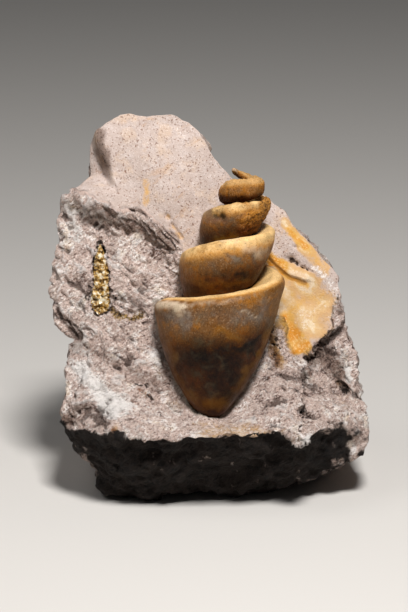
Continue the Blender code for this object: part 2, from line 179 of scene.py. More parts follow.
def marks(x, up, spots):
    # soft spots that add up, each (x, up, x, up, ..., radius, strength) for a point or a line:
    # strength * exp(-(distance / radius)^2)
    total = np.zeros(np.shape(x))
    for *corners, radius, strength in spots:
        line = list(zip(corners[::2], corners[1::2]))
        gap = lineGap(x, up, line)[0] if line[1:] else np.hypot(x - corners[0], up - corners[1])
        total = total + strength * np.exp(-(gap / radius) ** 2)
    return total


def unit(vectors):
    # each vector divided by its length
    return vectors / np.maximum(np.linalg.norm(vectors, axis=-1), tiny)[..., None]


def gridNormals(grid):
    # directions out of a grid of points (rows, columns, 3) whose columns go round: the cross
    # product of the steps along its two ways
    across = np.roll(grid, -1, 1) - np.roll(grid, 1, 1)
    return unit(np.cross(across, np.gradient(grid, axis=0)))


def ringFaces(rows, columns):
    # quads between closed rings of points, numbered ring by ring
    here = np.arange(rows * columns).reshape(rows, columns)
    beside = np.roll(here, -1, 1)
    return np.stack([here[:-1], beside[:-1], beside[1:], here[1:]], -1).reshape(-1, 4)


def endCaps(rows, columns):
    # one face over the first ring and one over the last
    return [list(range(columns)), list(range((rows - 1) * columns, rows * columns))]


def meshFrom(name, points, faces, material, masks=None):
    # points in millimetres, faces as lists, and masks as one value a point
    mesh = bpy.data.meshes.new(name)
    mesh.from_pydata(np.asarray(points) * mm, [], faces)
    for mask, values in (masks or {}).items():
        layer = mesh.attributes.new(mask, "FLOAT", "POINT")
        layer.data.foreach_set("value", np.asarray(values, np.float32).ravel())
    mesh.shade_smooth()
    mesh.materials.append(material)
    made = bpy.data.objects.new(name, mesh)
    bpy.context.scene.collection.objects.link(made)
    return made


def tidyMesh(made, flatAt=None):
    # welds points that coincide, cuts the underside flat and closes it, and turns the faces out
    shape = bmesh.new()
    shape.from_mesh(made.data)
    bmesh.ops.remove_doubles(shape, verts=shape.verts, dist=mm / 1000)
    if flatAt is not None:
        everything = shape.verts[:] + shape.edges[:] + shape.faces[:]
        cut = bmesh.ops.bisect_plane(shape, geom=everything, plane_co=(0, 0, flatAt),
                                     plane_no=(0, 0, 1), clear_inner=True)
        rim = [part for part in cut["geom_cut"] if isinstance(part, bmesh.types.BMEdge)]
        bmesh.ops.contextual_create(shape, geom=rim)
    bmesh.ops.triangulate(shape, faces=[face for face in shape.faces if len(face.verts) > 4])
    bmesh.ops.recalc_face_normals(shape, faces=shape.faces)
    shape.to_mesh(made.data)
    shape.free()


def fromHex(code, alpha=1.0):
    # an sRGB colour such as c8a27b as linear red, green, blue, alpha
    parts = [int(code[k:k + 2], 16) / 255 for k in (0, 2, 4)]
    return (*[p / 12.92 if p <= 0.04045 else ((p + 0.055) / 1.055) ** 2.4 for p in parts], alpha)


def newMaterial(name):
    # an empty material and its node tree
    made = bpy.data.materials.new(name)
    made.use_nodes = True
    made.node_tree.nodes.clear()
    return made, made.node_tree


def add(tree, kind, inputs=None, out=0, stops=(), **settings):
    # a node with its settings, its input values or links and a ramp's stops; gives one output
    node = tree.nodes.new("ShaderNode" + kind)
    for name, value in settings.items():
        setattr(node, name, value)
    for name, value in (inputs or {}).items():
        if isinstance(value, bpy.types.NodeSocket):
            tree.links.new(value, node.inputs[name])
        else:
            node.inputs[name].default_value = value
    for number, (place, code) in enumerate(stops):
        points = node.color_ramp.elements
        point = points[number] if number < 2 else points.new(place)
        point.position, point.color = place, fromHex(code)
    return node.outputs[out] if len(node.outputs) else None


def makeFields(tree, masks, patterns, turned=0, stretch=None):
    # what colours and relief are made from: the mesh's masks, and noises on its own coordinates,
    # some of them drawn out by a turn and then a stretch; a noise's scale is 1 / its size
    coords = drawn = add(tree, "TexCoord", out="Object")
    if stretch:
        drawn = add(tree, "Mapping", {"Vector": coords, "Rotation": (0, turned, 0)})
        drawn = add(tree, "Mapping", {"Vector": drawn, "Scale": stretch})
    field = {name: add(tree, "Attribute", out="Fac", attribute_name=name) for name in masks}
    for name, (size, detail, roughness, distortion, isDrawn) in patterns.items():
        field[name] = add(tree, "TexNoise", {
            "Vector": drawn if isDrawn else coords, "Scale": 1 / (size * mm), "Detail": detail,
            "Roughness": roughness, "Distortion": distortion})
    return field


def layColours(tree, colour, field, layers, blend="MIX"):
    # each layer's colour covers what is under it by strength * smooth step from low to high of
    # (one field + share * another), so a noise added to a mask gives the mask a ragged edge
    for code, strength, one, other, share, low, high in layers:
        level = field[one]
        if other:
            level = add(tree, "Math", {0: field[other], 1: share, 2: level},
                        operation="MULTIPLY_ADD")
        level = add(tree, "MapRange", {"Value": level, "From Min": low, "From Max": high,
                                       "To Max": strength}, interpolation_type="SMOOTHSTEP")
        colour = add(tree, "Mix", {0: level, 6: colour, 7: fromHex(code)}, 2,
                     data_type="RGBA", blend_type=blend)
    return colour


print("tools ready")

# the block of limestone; spots are (x, up, x, up, ..., radius, depth or strength)
rock = {
    "outline": [
        (-39.3, 101), (-39.3, 107), (-38.5, 112.6), (-36.9, 115.2), (-34.2, 117), (-31.6, 119.6),
        (-29.4, 121.2), (-26, 121), (-23.5, 120.3), (-20, 120.4), (-12.4, 121.3), (-10.8, 120.8),
        (-9, 119), (-6.7, 118), (-3.3, 114.6), (1.5, 106), (8, 99.5), (19, 93), (25, 88.5),
        (29, 82), (42, 68), (42.5, 59), (47, 45), (49, 40), (48, 33), (51, 23), (51.5, 15),
        (49, 10.5), (41, 6), (28, 2), (24, -0.5), (-6, -2.5), (-20, -5), (-33, -2.5), (-39, 7.5),
        (-44.5, 16.5), (-48, 25), (-45.5, 33), (-46, 41), (-45, 47), (-50, 51), (-52, 58),
        (-52, 69), (-49.5, 85), (-48, 92.5), (-42, 98)],
    "rimWear": (40, (5, 0.5), (2.1, 0.3)),    # nicks in the outline: a seed, then (size, height)
    "rimInset": 0.4, "ringCentre": (2, 58),
    "faceLines": [                            # the face is lofted through these: (x, up, out)
        [(-48, 20, 23), (-39, 7, 20), (-33, -3, 16), (-20, -5.5, 15), (24, -1, 17), (41, 6, 18),
         (52, 12, 20)],
        [(-49, 24.5, 24), (-43, 20.5, 29), (-33, 19, 36), (-25, 17.5, 39), (-14, 16, 41),
         (10, 18, 41), (21, 19, 40), (26.5, 15.5, 41), (31, 15, 40), (35, 20, 34),
         (42, 22.5, 27), (52, 20, 18)],
        [(-48, 34.5, 21), (-38, 30.5, 25), (-28, 27.5, 28), (-19, 26, 29), (2, 24, 27),
         (12, 26, 27), (24, 29, 27), (34, 30, 25), (42, 30.5, 20), (52, 30.5, 15)],
        [(-48, 44, 16), (-32, 43.5, 22), (-19, 44, 19), (24, 44, 16), (30, 42.5, 15),
         (37, 43, 11), (50, 44, 11)],
        [(-54, 60, 12), (-38, 60, 17), (-25, 60, 19), (5, 60, 15), (24, 60, 11), (33, 60, 9.5),
         (45, 60, 11.5)],
        [(-54, 79.5, 11), (-38, 79.5, 13.5), (-14, 77, 15.5), (-3, 77.5, 16), (10, 78, 13),
         (20, 78, 11), (32, 78, 11)],
        [(-52, 94, 12), (-35, 94, 15), (-22, 93.5, 17), (-3, 93.5, 16), (10, 94, 13),
         (21, 94, 11)],
        [(-42, 116.5, 12), (-3, 116.5, 14)]],
    "ledge": 1,                               # which of them is the ledge's edge
    "creaseRounding": 0.7,
    "raggedFrom": (42, 26), "raggedLedge": (50, (6, 1.1), (2.4, 0.7)),
    # steps down on the right of a line: (line, drop, width, reach, how far noise moves it in x
    # and up, and the up where it starts and is full); 1 / tiny reaches without end
    "steps": [
        ([(-47, 96), (-37, 92), (-21, 88), (-16, 83.5), (-11.5, 80.5), (-9.5, 73)],
         5, 7, 16, 0, 1, (-far, 1 - far)),
        ([(30.4, 29), (31.2, 35), (31.2, 38.5), (32, 40.7), (33.6, 43), (34.8, 45.4), (37.4, 47.3),
          (40.3, 49.6), (44, 54)], 5.5, 0.9, 6, 1, 0, (-far, 1 - far)),
        ([(-37, 115.5), (-34, 108), (-31.4, 102), (-30.6, 98)],
         6, 3, 1 / tiny, 0, 0, (94, 101))],   # a chip off the slab's corner
    "stepWander": (52, (4, 0.9), (1.7, 0.4)),
    "dents": [
        (-31, 101, -22, 91, 6, 1.5), (-18, 52, -14.5, 39, -9, 29, 3.5, 1.3),
        (24, 56, 27, 46, 3.5, 2.5), (30, 39, 41, 28, 4.5, 4)],
    "smallDents": [
        (-29.5, 70.5, -24.5, 65, 0.9, 1), (-14, 87, -13.6, 86.6, 0.8, 0.8),
        (-12, 84, -9, 80, 0.6, 0.7), (27, 77.6, 28.5, 77, 0.5, 0.7),
        (-33, 56.6, -27, 54.8, -22, 55, 1.3, 1.5), (-23.5, 44, -23, 43.6, 0.9, 1),
        (22, 31.5, 28.5, 30.4, 0.5, 1), (-45.5, 20.5, -44, 19, 1.6, 1.6),
        (24, 41, 23.4, 38.6, 0.8, 0.9)],
    "openPits": [                             # and how dark the painted shade inside each is
        (26.2, 73.2, 26.6, 72.9, 1.2, 2.2, 1.2), (28.2, 71.4, 0.7, 1.4, 1.1),
        (28.4, 72.4, 0.45, 1, 1), (29.9, 70.6, 0.7, 1.6, 1.1), (31.3, 69.8, 0.55, 1.2, 1),
        (32.8, 69.4, 0.45, 1, 1), (-23.4, 33.4, -21.6, 32.6, 0.5, 1.2, 1),
        (-20.6, 32.9, -19.6, 32, 0.4, 1, 1), (-23.8, 28.6, -23, 28, 0.45, 1, 0.9),
        (-20, 29.8, -18.8, 28.6, 0.5, 1.2, 1), (-21.6, 30.6, 0.4, 0.8, 0.9),
        (30, 24.8, 31.4, 24, 1.2, 1.6, 0.7), (42, 32, 43.5, 30.8, 1.2, 2.2, 0.75),
        (20.5, 50, 0.6, 0.8, 1), (21.9, 47.5, 0.5, 0.8, 1), (20.2, 45.5, 0.6, 0.8, 1),
        (22.6, 45, 0.5, 0.7, 1), (21, 42.5, 0.5, 0.8, 1), (19.4, 42.8, 0.5, 0.7, 0.9),
        (23, 41.5, 0.5, 0.7, 0.8)],
    "pitWander": (54, (1.6, 0.5)), "pitShift": (0.5, 0),
    "crest": ([(17, 77), (21, 72.5), (25.5, 68.6), (31, 66.6)], 0.6, 1.6, 1.1),
    "slab": [                                 # the smooth ground: the slab and the shell's mould
        (-44, 95.5), (-37.5, 92.5), (-32, 89.5), (-26, 88), (-21, 88), (-16, 83.5),
        (-11.5, 80.5), (-9, 73.5), (-3, 63.5), (17, 55), (23.4, 54), (24.6, 50), (26, 43.5),
        (29, 42), (33.6, 43), (34.6, 45.2), (37.2, 47.1), (40, 49.4), (40.5, 54), (41, 59),
        (44.5, 63), (46, 69.5), (30, 88), (17, 99.5), (3, 111), (-6, 126), (-34, 126), (-43, 112)],
    "slabEdge": (0.2, 1.2), "slabFrom": 4,
    "calmGround": [                           # chalky ground that is smoother than the fracture
        (-25, 24.5, -10, 20, 10, 19.5, 4, 0.7), (-14, 33, -8, 25, 2, 22, 3, 0.5)],
    "calmByCast": (3, 0.8), "haloByCast": 2.2,
    "hollow": [
        (-35.5, 78.5), (-37.2, 75), (-37.8, 70), (-37.5, 65), (-38.6, 61), (-38, 57), (-36, 55),
        (-32.5, 56.5), (-32, 60), (-32.5, 65), (-32.5, 70), (-33.8, 75)],
    "hollowWander": (63, (1.5, 0.7), (0.8, 0.4)), "hollowDepth": 3.6, "hollowWall": (-0.2, 1),
    "pocketEdge": (0.1, 0.9),
    "backAtFoot": -41.5, "backRise": 0.287, "backSwell": 4, "backTaper": 0.13, "taperFrom": (0, 30),
    "wallBulge": 0.3, "brokenEdge": 2, "edgeSharpness": 10,
    "lumps": (0, (26, 1.6), (12, 1)), "lumpsOffRim": 0.8, "rimRows": 7,
    "strokes": math.radians(-36), "strokeLength": 3.4,   # splinters run down to the right
    "warp": (70, (4, 0.4)),
    "faceChips": (80, (7, 1.5), (2.6, 0.9), (1.15, 0.5)),
    "flakes": (170, (9, 2.6), (4, 1.2), (1.8, 0.6)),     # the swells that they step down over
    "flakeStep": 0.7,
    "sideChips": (120, (15, 2.4), (6.5, 1.4), (3, 0.8)),
    "smoothWaves": (160, (7, 0.2), (2.6, 0.14), (1.2, 0.06)),
    "rougher": {"smoothGround": -1, "calm": -0.75, "pocket": -0.8, "dirt": 0.8},
    # painted shade in low creases and painted highlight on crests, from the relief's height
    "creaseShade": (-0.9, -0.25), "crestHighlight": (0.9, 0.1), "shadedSides": 0.4,
    "groundWander": (60, (3, 0.8), (1.2, 0.5)),
    "sideFrom": (0.5, 7), "sideWander": 2,
    "foot": {                                 # painted shade under the overhanging ledge, on a darker weathered crust, thin in places
        "wander": 1.5, "from": (0.3, -1.7), "thin": 0.3, "thinIn": [(25, 36), (43, 47), (-34, -44)],
        "mottles": (65, (2.2, 0.4)), "backWander": 6, "back": (-30, 12), "onSides": 0.7,
        "side": (0, 0.5)},
    "topReach": 5, "topGap": 0.05, "boxGap": 0.02,
    "columns": 480, "faceRings": 124, "wallRings": 36, "backRings": 44, "innerRing": 0.1,
    "ringSpread": 0.85,
    "masks": ("smoothGround", "broken", "stain", "ochre", "chalk", "dirt", "rust", "groove", "tail",
              "halo", "pocket", "under", "side", "creaseShade", "crestHighlight", "pits"),
    # colours, and painted shade and highlight, that belong to places: how far noise moves them
    # in x and up, and their spots
    "tints": {
        "stain": (-1, 0, [
            (24, 60, 31, 56, 37, 59, 31, 64, 4.5, 0.75), (31, 51, 36, 50, 4, 0.55),
            (24, 85, 28, 80, 31, 77, 2, 0.8), (31, 77, 38, 70, 2.6, 0.5),
            (19, 72, 25, 69.5, 31, 66.5, 2.8, 0.9), (18, 69, 22, 62, 22, 55, 3.4, 0.9),
            (-20.8, 98.5, -20.3, 91, 1.6, 0.42), (-12, 84, -9, 80, 1.1, 0.4),
            (-13.8, 86.8, 1.2, 0.5), (-20.8, 30.3, 1.8, 0.3), (-29.4, 18.4, 2.2, 0.5),
            (-36, 118, -12, 121, 2.5, 0.25), (8, 98, 20, 92, 2.5, 0.3),
            (-2, 17, 22, 18, 2.4, 0.3), (-4, 21, 14, 21, 3, 0.3), (19, 50, 23, 40, 2.6, 0.5),
            (-10, 96, -4, 86, 5, 0.2), (42, 33, 44, 26, 4, 0.25)]),
        "ochre": (1, -1, [
            (24.8, 54.5, 26.6, 50, 29.5, 46, 2.5, 1), (28, 45, 31.4, 44.6, 2.4, 0.9),
            (25.6, 83, 28, 80, 30.5, 77.5, 1.5, 0.9), (18.5, 74, 24, 71, 2, 1.1),
            (17, 75.6, 21, 71, 25.5, 67.2, 31, 65.2, 1.1, 0.8), (30, 44.6, 2.2, 0.5),
            (-20.4, 97, -20, 92, 0.9, 0.45), (-29.4, 18.4, 1.4, 0.3), (20, 46, 22, 42, 1.4, 0.5),
            (36, 60, 39, 64, 2, 0.4), (-11, 82.5, -9.5, 80, 0.8, 0.35),
            (23, 60, 28, 58, 2.4, 0.45), (25, 63, 33, 61, 3, 0.3), (31, 77, 36, 71, 1.5, 0.5)]),
        # pale chalky ground, with painted highlight where the lower left faces the light
        "chalk": (-1, 1, [
            (30.4, 13.5, 31, 17, 2.6, 1.1), (44.5, 39, 44.8, 35, 1.5, 1),
            (-42, 38.5, -37, 33, -31, 27, 4.8, 0.8), (-46, 90, -43, 80, 4, 0.62),
            (-32, 26, -14, 24, 3.6, 0.5), (-5, 19, 20, 20, 2.4, 0.5),
            (-22, 62, -18, 56, 3.5, 0.4), (-12, 116, -8, 112, 4, 0.4),
            (22, 82, 27, 76, 2.4, 0.4), (29, 74, 33, 71, 1.6, 0.1),
            (35, 70, 39, 66, 41.5, 61, 40, 55, 2.6, 0.55), (21, 58, 21, 52, 1.6, 0.6),
            (29, 53, 35, 50.5, 3, 0.42)]),
        "rust": (-1, 0, [
            (19, 50, 22, 40, 3.4, 0.9), (-30, 18.6, -28.6, 17.6, 1.8, 1),
            (-23, 32, -19.5, 29.5, 1.8, 0.9), (30, 40, 36, 30, 5, 0.4),
            (-10, 85, -14, 89, 3, 0.4)]),
        "groove": (0, 0, [(18, 75.2, 21.6, 70.9, 25.8, 67.2, 31, 65.4, 0.9, 1)]),
        # painted shade with some dirt: spots under the slab's step, in the scoop, in the right-hand
        # break, above the pale lower left and beside the cast
        "dirt": (1, 0, [
            (-15.6, 40, -13.2, 32, -9.4, 26.4, 3, 0.6),
            (-44, 46, -34, 43, -25, 37, -19, 34, 3.6, 0.65),
            (-46, 22, -38, 20.5, -33, 21, 2.6, 0.6), (36, 43.5, 40, 40, 42, 36, 4, 1),
            (33, 40, 32, 36, 2.6, 0.7), (20, 50, 21, 40, 2.6, 0.7), (43, 16, 35, 8, 6, 0.7),
            (30, 25, 32, 24, 2, 0.5), (43, 31, 2, 0.6), (42, 57, 2.6, 0.9),
            (-36, 114, -33.4, 104, 2.4, 0.95),
            (-37, 89, -28, 85, -20, 82.5, -13, 77.5, 3.4, 0.8), (-17, 48, -15, 42, 2.2, 0.4),
            (-43, 30, -46, 22, 3, 0.4), (26, 60, 26, 62, 1.2, 0.2)]),
        "tail": (0.7, -0.7, [
            (-32.5, 57.5, -30, 55.5, -26, 54.6, -22, 55.2, 1.3, 1),
            (-29.5, 70.5, -24.5, 65, 0.6, 0.85), (-38.5, 60, -38, 56, 1, 0.6)]),
    },
}


def rimPoints(columns):
    # even steps along the outline, pushed in and out by small nicks
    rim = evenSteps(rock["outline"], columns)
    outward = unit(rim - np.array(rock["ringCentre"], float))
    nicks = layered(np.column_stack([rim, np.zeros(columns)]), rock["rimWear"])
    return rim + outward * (nicks - rock["rimInset"])[:, None], outward


def loftedHeight(x, up):
    # straight between the face's lines, each of which is straight between its points
    lines = [np.array(line, float).T for line in rock["faceLines"]]
    ups = [np.interp(x, xs, lineUp) for xs, lineUp, lineOut in lines]
    outs = [np.interp(x, xs, lineOut) for xs, lineUp, lineOut in lines]
    height = outs[0]
    for low in range(len(lines) - 1):
        share = np.clip((up - ups[low]) / (ups[low + 1] - ups[low]), 0, 1)
        height = np.where(up > ups[low], outs[low] + (outs[low + 1] - outs[low]) * share, height)
    return height


def faceHeight(x, up):
    # the lofted sheet, read off its place by noise near the ledge and averaged with what is
    # around, less drop * ease(gap from 0 to width) * exp(-gap / reach) at each step, less dents
    spot = np.stack([x, up, 0 * x], -1)
    up = up + ease(up, *rock["raggedFrom"]) * layered(spot, rock["raggedLedge"])
    beside = rock["creaseRounding"]
    around = [(0, 0), (beside, 0), (-beside, 0), (0, beside), (0, -beside)]
    height = sum(loftedHeight(x + dx, up + dy) for dx, dy in around) / len(around)
    wander = layered(spot, rock["stepWander"])
    for line, drop, width, reach, sideways, upwards, start in rock["steps"]:
        gap, side = lineGap(x + sideways * wander, up + upwards * wander, line)
        fall = ease(gap, 0, width) * np.exp(-gap / reach) * ease(up, *start)
        height = height - drop * (side > 0) * fall
    return height - marks(x, up, rock["dents"])


def fineMarks(x, up):
    # pits, cracks and slits, and the crest left between two turns of the mould, which is
    # height * exp(-(distance / width)^2) with a width for each side
    wander = layered(np.stack([x, up, 0 * x], -1), rock["pitWander"])
    line, right, left, height = rock["crest"]
    gap, side = lineGap(x, up, line)
    crest = height * np.exp(-np.where(side > 0, gap / right, gap / left) ** 2)
    pits = [spot[:-1] for spot in rock["openPits"]]
    return crest - marks(x + wander, up - wander, rock["smallDents"] + pits)


# the cast of the shell: a right-handed spiral, each whorl a cup that tapers downwards
cast = {
    "firstTurn": -0.25, "lastTurn": 3, "columnsPerTurn": 180, "rows": 76,
    "bodyRadius": 22, "radiusRatio": 0.72,    # the ratio is from one turn to the next
    "rimHeights": [
        (-0.25, 56), (0, 60.6), (0.25, 64), (0.45, 67.6), (1, 76), (1.25, 80.8), (1.45, 82.6),
        (2, 88.3), (2.22, 91.6), (2.45, 92.2), (3, 95)],
    "axis": [                                 # (up, x, out) along the spiral's middle
        (22.6, 0.7, 26.5), (45, 3.3, 22.5), (62, 4.7, 21), (77, 6.7, 22), (88, 9, 23),
        (96, 10.5, 24), (104, 10.5, 24.5)],
    "nod": math.radians(7), "footHeight": 22.6, "shoulder": 0.86, "rampSlope": 0.35,
    "lowerEdge": 0.72,
    "wall": [(0.1, 0.79), (0.35, 0.9), (0.65, 0.99), (0.86, 0.985), (0.96, 0.94)],
    "bowl": [
        (0, 0), (0.03, 0.17), (0.11, 0.34), (0.24, 0.52), (0.42, 0.71), (0.6, 0.85),
        (0.78, 0.95), (0.96, 0.995)],
    "core": 0.5, "gap": 0.9, "footBlend": (0.58, 0.75), "fade": (2.6, 3), "fadeShrink": 0.88,
    "tip": 0.05,
    "overlap": 0.8, "socket": (1.6, 0.8, 3.5),    # how far the stone stays inside and behind it
    "settling": (2, 4),                       # rounds that find a place where each needs the other
    "strand": [                               # (turn, distance, height, thickness)
        (2.55, 5.6, 89, 2.2), (2.8, 4.9, 92, 2.5), (3, 4.6, 94.4, 2.9), (3.25, 4.6, 95.4, 3.1),
        (3.5, 4.2, 96.2, 2.7), (3.62, 4, 97.4, 2), (3.75, 3.6, 99, 1.3), (3.86, 3.4, 100.3, 1.1),
        (3.95, 3.2, 101.3, 1.35)],
    "strandColumns": 150, "strandSides": 30, "strandHeight": 1.15, "strandTip": (24, 0.9),
    "strandGrit": (0.6, 1.5), "paleTip": (0.93, 0.97),
    "waves": (200, (9, 0.3), (3.4, 0.13), (1.5, 0.05)),
    "grit": (210, (1.6, 0.36), (0.8, 0.36)),  # the rough skin of the upper whorls
    "gritty": (1.85, 2.3), "grittyPatches": (215, (5, 1)), "grittyRight": (0.8, 6, 14),
    "grittyTop": (2.2, 2.6), "grittyEdge": (0.1, 0.9),
    "calmAt": {"radius": (0.4, 2.5), "low": (0, 0.06), "high": (1, 0.97)},
    "front": (22, 26), "inside": 5,
    "dents": [
        (2, 87, 2.9, 86.4, 1.3, 0.9), (13.5, 46, 15, 43.8, 1.2, 0.8),
        (9.5, 41.5, 13, 37, 0.5, 0.3), (11.2, 68.4, 12.2, 67.9, 1.3, 0.5)],
    "masks": ("rim", "low", "gritty", "cream", "grey", "lilac", "orange", "dark"),
    # where highlight and shade are painted on the whorls and the strand
    "rimBand": (0.2, 0.45), "rimWidens": (0.5, 0.9), "lowBand": (0.35, 1.15),
    "strandRim": (0.5, 0.95), "strandLow": (0.5, 0.1), "strandRoughness": 0.6,
    "tintWander": (240, (3.5, 1.6), (1.3, 0.7)), "tintsFrom": (18, 24),
    "backTints": (250, (9, 1)), "backTintEdge": (0.25, 0.6), "backTintStrength": 0.5,
    "tints": {                                # colours that lie in places on the front
        # painted highlight along the rims, over pale cream colour
        "cream": [
            (-17.5, 59, -12, 58.2, -8, 58.2, 1.7, 0.95), (-7, 58.2, 2, 58.8, 9, 60, 1.5, 0.35),
            (12, 76.5, 16, 75, 2.4, 0.55), (2, 79.5, 8, 80, 1.6, 0.6),
            (10.5, 56.5, 14.5, 55, 0.7, 0.6), (-10, 55.5, -6, 55, 1, 0.4)],
        "grey": [
            (-13, 55, -8, 52, 3, 0.75), (-7, 55, 6, 54, 2.6, 0.5),
            (10, 55.5, 14.5, 54, 2.6, 0.8), (17, 58, 19.5, 51, 2.4, 0.65),
            (6, 73, 9, 72.5, 1.5, 0.7), (0, 70, 3, 70, 1.8, 0.5),
            (13.5, 73.5, 15, 71.5, 1.6, 0.7), (7.5, 85, 9, 84.5, 1.3, 0.6),
            (-2, 47, 4, 45, 3.5, 0.35)],
        "lilac": [
            (-0.5, 86.5, 3.5, 85, 3, 0.9), (-9, 72, -7, 66, 3, 0.5), (-12, 50, -2, 48, 3, 0.35)],
        # partly a painted glow along the body whorl's left and right edges, partly its own orange
        "orange": [
            (3, 50, 9, 48.5, 2.4, 0.65), (-13.4, 45, -11.4, 36, -7.5, 29, 2.4, 0.7),
            (-4, 59, 8, 60.5, 1.2, 0.5), (-6, 29, 0, 26.5, 6, 28, 2.4, 0.8),
            (19, 49, 15, 41, 9, 32, 1.7, 0.85), (-8, 66, 4, 64.5, 12, 66, 1.8, 0.6),
            (14, 82, 16, 88, 3, 0.5), (-3, 76, 2, 77, 2, 0.5)],
        # painted shade in the dents and the crack and on the body whorl's lower middle, which is
        # also darker brown
        "dark": [
            (-4, 40.5, 6, 40, 4, 33, 7, 0.85), (8.5, 44, 12, 47, 16, 49, 0.8, 0.9),
            (11, 46.5, 14, 43, 0.8, 0.9), (8.5, 68, 11.5, 67.5, 1.2, 0.9),
            (2.2, 87, 3, 86.2, 1.5, 0.95), (-4, 68.5, -1, 67.5, 1, 0.25)],
    },
}


def whorlRadius(turn):
    # each turn is radiusRatio times the one before, and the last fades away
    fade = 1 - cast["fadeShrink"] * ease(turn, *cast["fade"])
    return cast["bodyRadius"] * cast["radiusRatio"] ** turn * fade


def rimHeight(turn):
    # the rim climbs smoothly through its heights
    return smoothThrough(cast["rimHeights"], turn)[..., 0]


def rampHeight(turn, radius):
    # a whorl's top slopes in from its shoulder: rim height - slope * distance in from there
    inwards = np.maximum(cast["shoulder"] * whorlRadius(turn) - radius, 0)
    return rimHeight(turn) - cast["rampSlope"] * inwards


def spiralPoints(turn, radius, height):
    # points at these turns, distances from the spiral's middle and heights along it
    middle = smoothThrough(cast["axis"], height)
    front = radius * np.sin(2 * math.pi * turn)
    x = middle[..., 0] - radius * np.cos(2 * math.pi * turn)
    up = height - front * math.sin(cast["nod"])
    return np.stack([x, up, middle[..., 1] + front * math.cos(cast["nod"])], -1)


def whorlSection(turn):
    # (point, radius or height, turn): from the core out under the whorl, up its wall, over its
    # shoulder and in along its top; the body whorl has a bowl that tapers to its foot instead
    radius, rim = whorlRadius(turn), rimHeight(turn)
    below = np.maximum(turn - 1, cast["firstTurn"])
    edge = cast["lowerEdge"] * radius
    core = cast["core"] * edge
    section = [(core, rampHeight(below, core) + cast["gap"] / 2),
               ((core + edge) / 2, rampHeight(below, (core + edge) / 2) + cast["gap"]),
               (edge, rampHeight(below, edge) + cast["gap"])]
    low = section[-1][1]
    section += [(radius * width, low + (rim - low) * share) for share, width in cast["wall"]]
    top = [(radius * cast["shoulder"], rim), (edge, rampHeight(turn, edge))]
    foot = cast["footHeight"]
    bowl = [(radius * width, foot + (rim - foot) * share) for share, width in cast["bowl"]]
    blend = ease(turn, *cast["footBlend"])
    return np.array(bowl + top) * (1 - blend) + np.array(section + top) * blend


def castReach(x, up, out):
    # how far a point is from the spiral's middle, how far the cast reaches there (the widest of
    # the whorls that are at its height), and the middle itself
    height = up
    for again in range(cast["settling"][0]):
        middle = smoothThrough(cast["axis"], height)
        front = (out - middle[..., 1]) / math.cos(cast["nod"])
        height = up + front * math.sin(cast["nod"])
    side = x - middle[..., 0]
    part = np.arctan2(front, -side) / (2 * math.pi)
    reach = np.zeros(np.shape(x))
    for whorl in range(int(cast["lastTurn"]) + 1):
        turn = part + whorl
        radius, rim = whorlRadius(turn), rimHeight(turn)
        below = np.maximum(turn - 1, cast["firstTurn"])
        low = rampHeight(below, cast["lowerEdge"] * radius) + cast["gap"]
        blend = ease(turn, *cast["footBlend"])
        low = cast["footHeight"] + (low - cast["footHeight"]) * blend
        share = (height - low) / (rim - low)
        bowl = np.interp(share, *np.array(cast["bowl"], float).T)
        wall = np.interp(share, *np.array(cast["wall"], float).T)
        width = radius * (bowl * (1 - blend) + wall * blend)
        there = (share > 0) & (share < 1) & (turn >= cast["firstTurn"]) & (turn <= cast["lastTurn"])
        reach = np.maximum(reach, np.where(there, width, 0))
    return np.hypot(side, front), reach, middle


def behindCast(x, up, out):
    # where the face lies inside the cast it goes down to the mould behind it, which is
    # sqrt(reach^2 - side^2) behind the spiral's middle, and a little further well inside
    away, reach, middle = castReach(x, up, out)
    overlap = cast["overlap"]
    back = middle[..., 1] - reach
    for again in range(cast["settling"][1]):
        backReach, middle = castReach(x, up, back)[1:]
        side = x - middle[..., 0]
        chord = np.sqrt(np.maximum((backReach - overlap) ** 2 - side ** 2, 0))
        back = middle[..., 1] - chord * math.cos(cast["nod"])
    depth, start, full = cast["socket"]
    deeper = depth * ease(reach - away, start, full)
    inside = (reach > 0) & (away < reach - overlap)
    return np.where(inside, np.minimum(out, back - deeper), out)


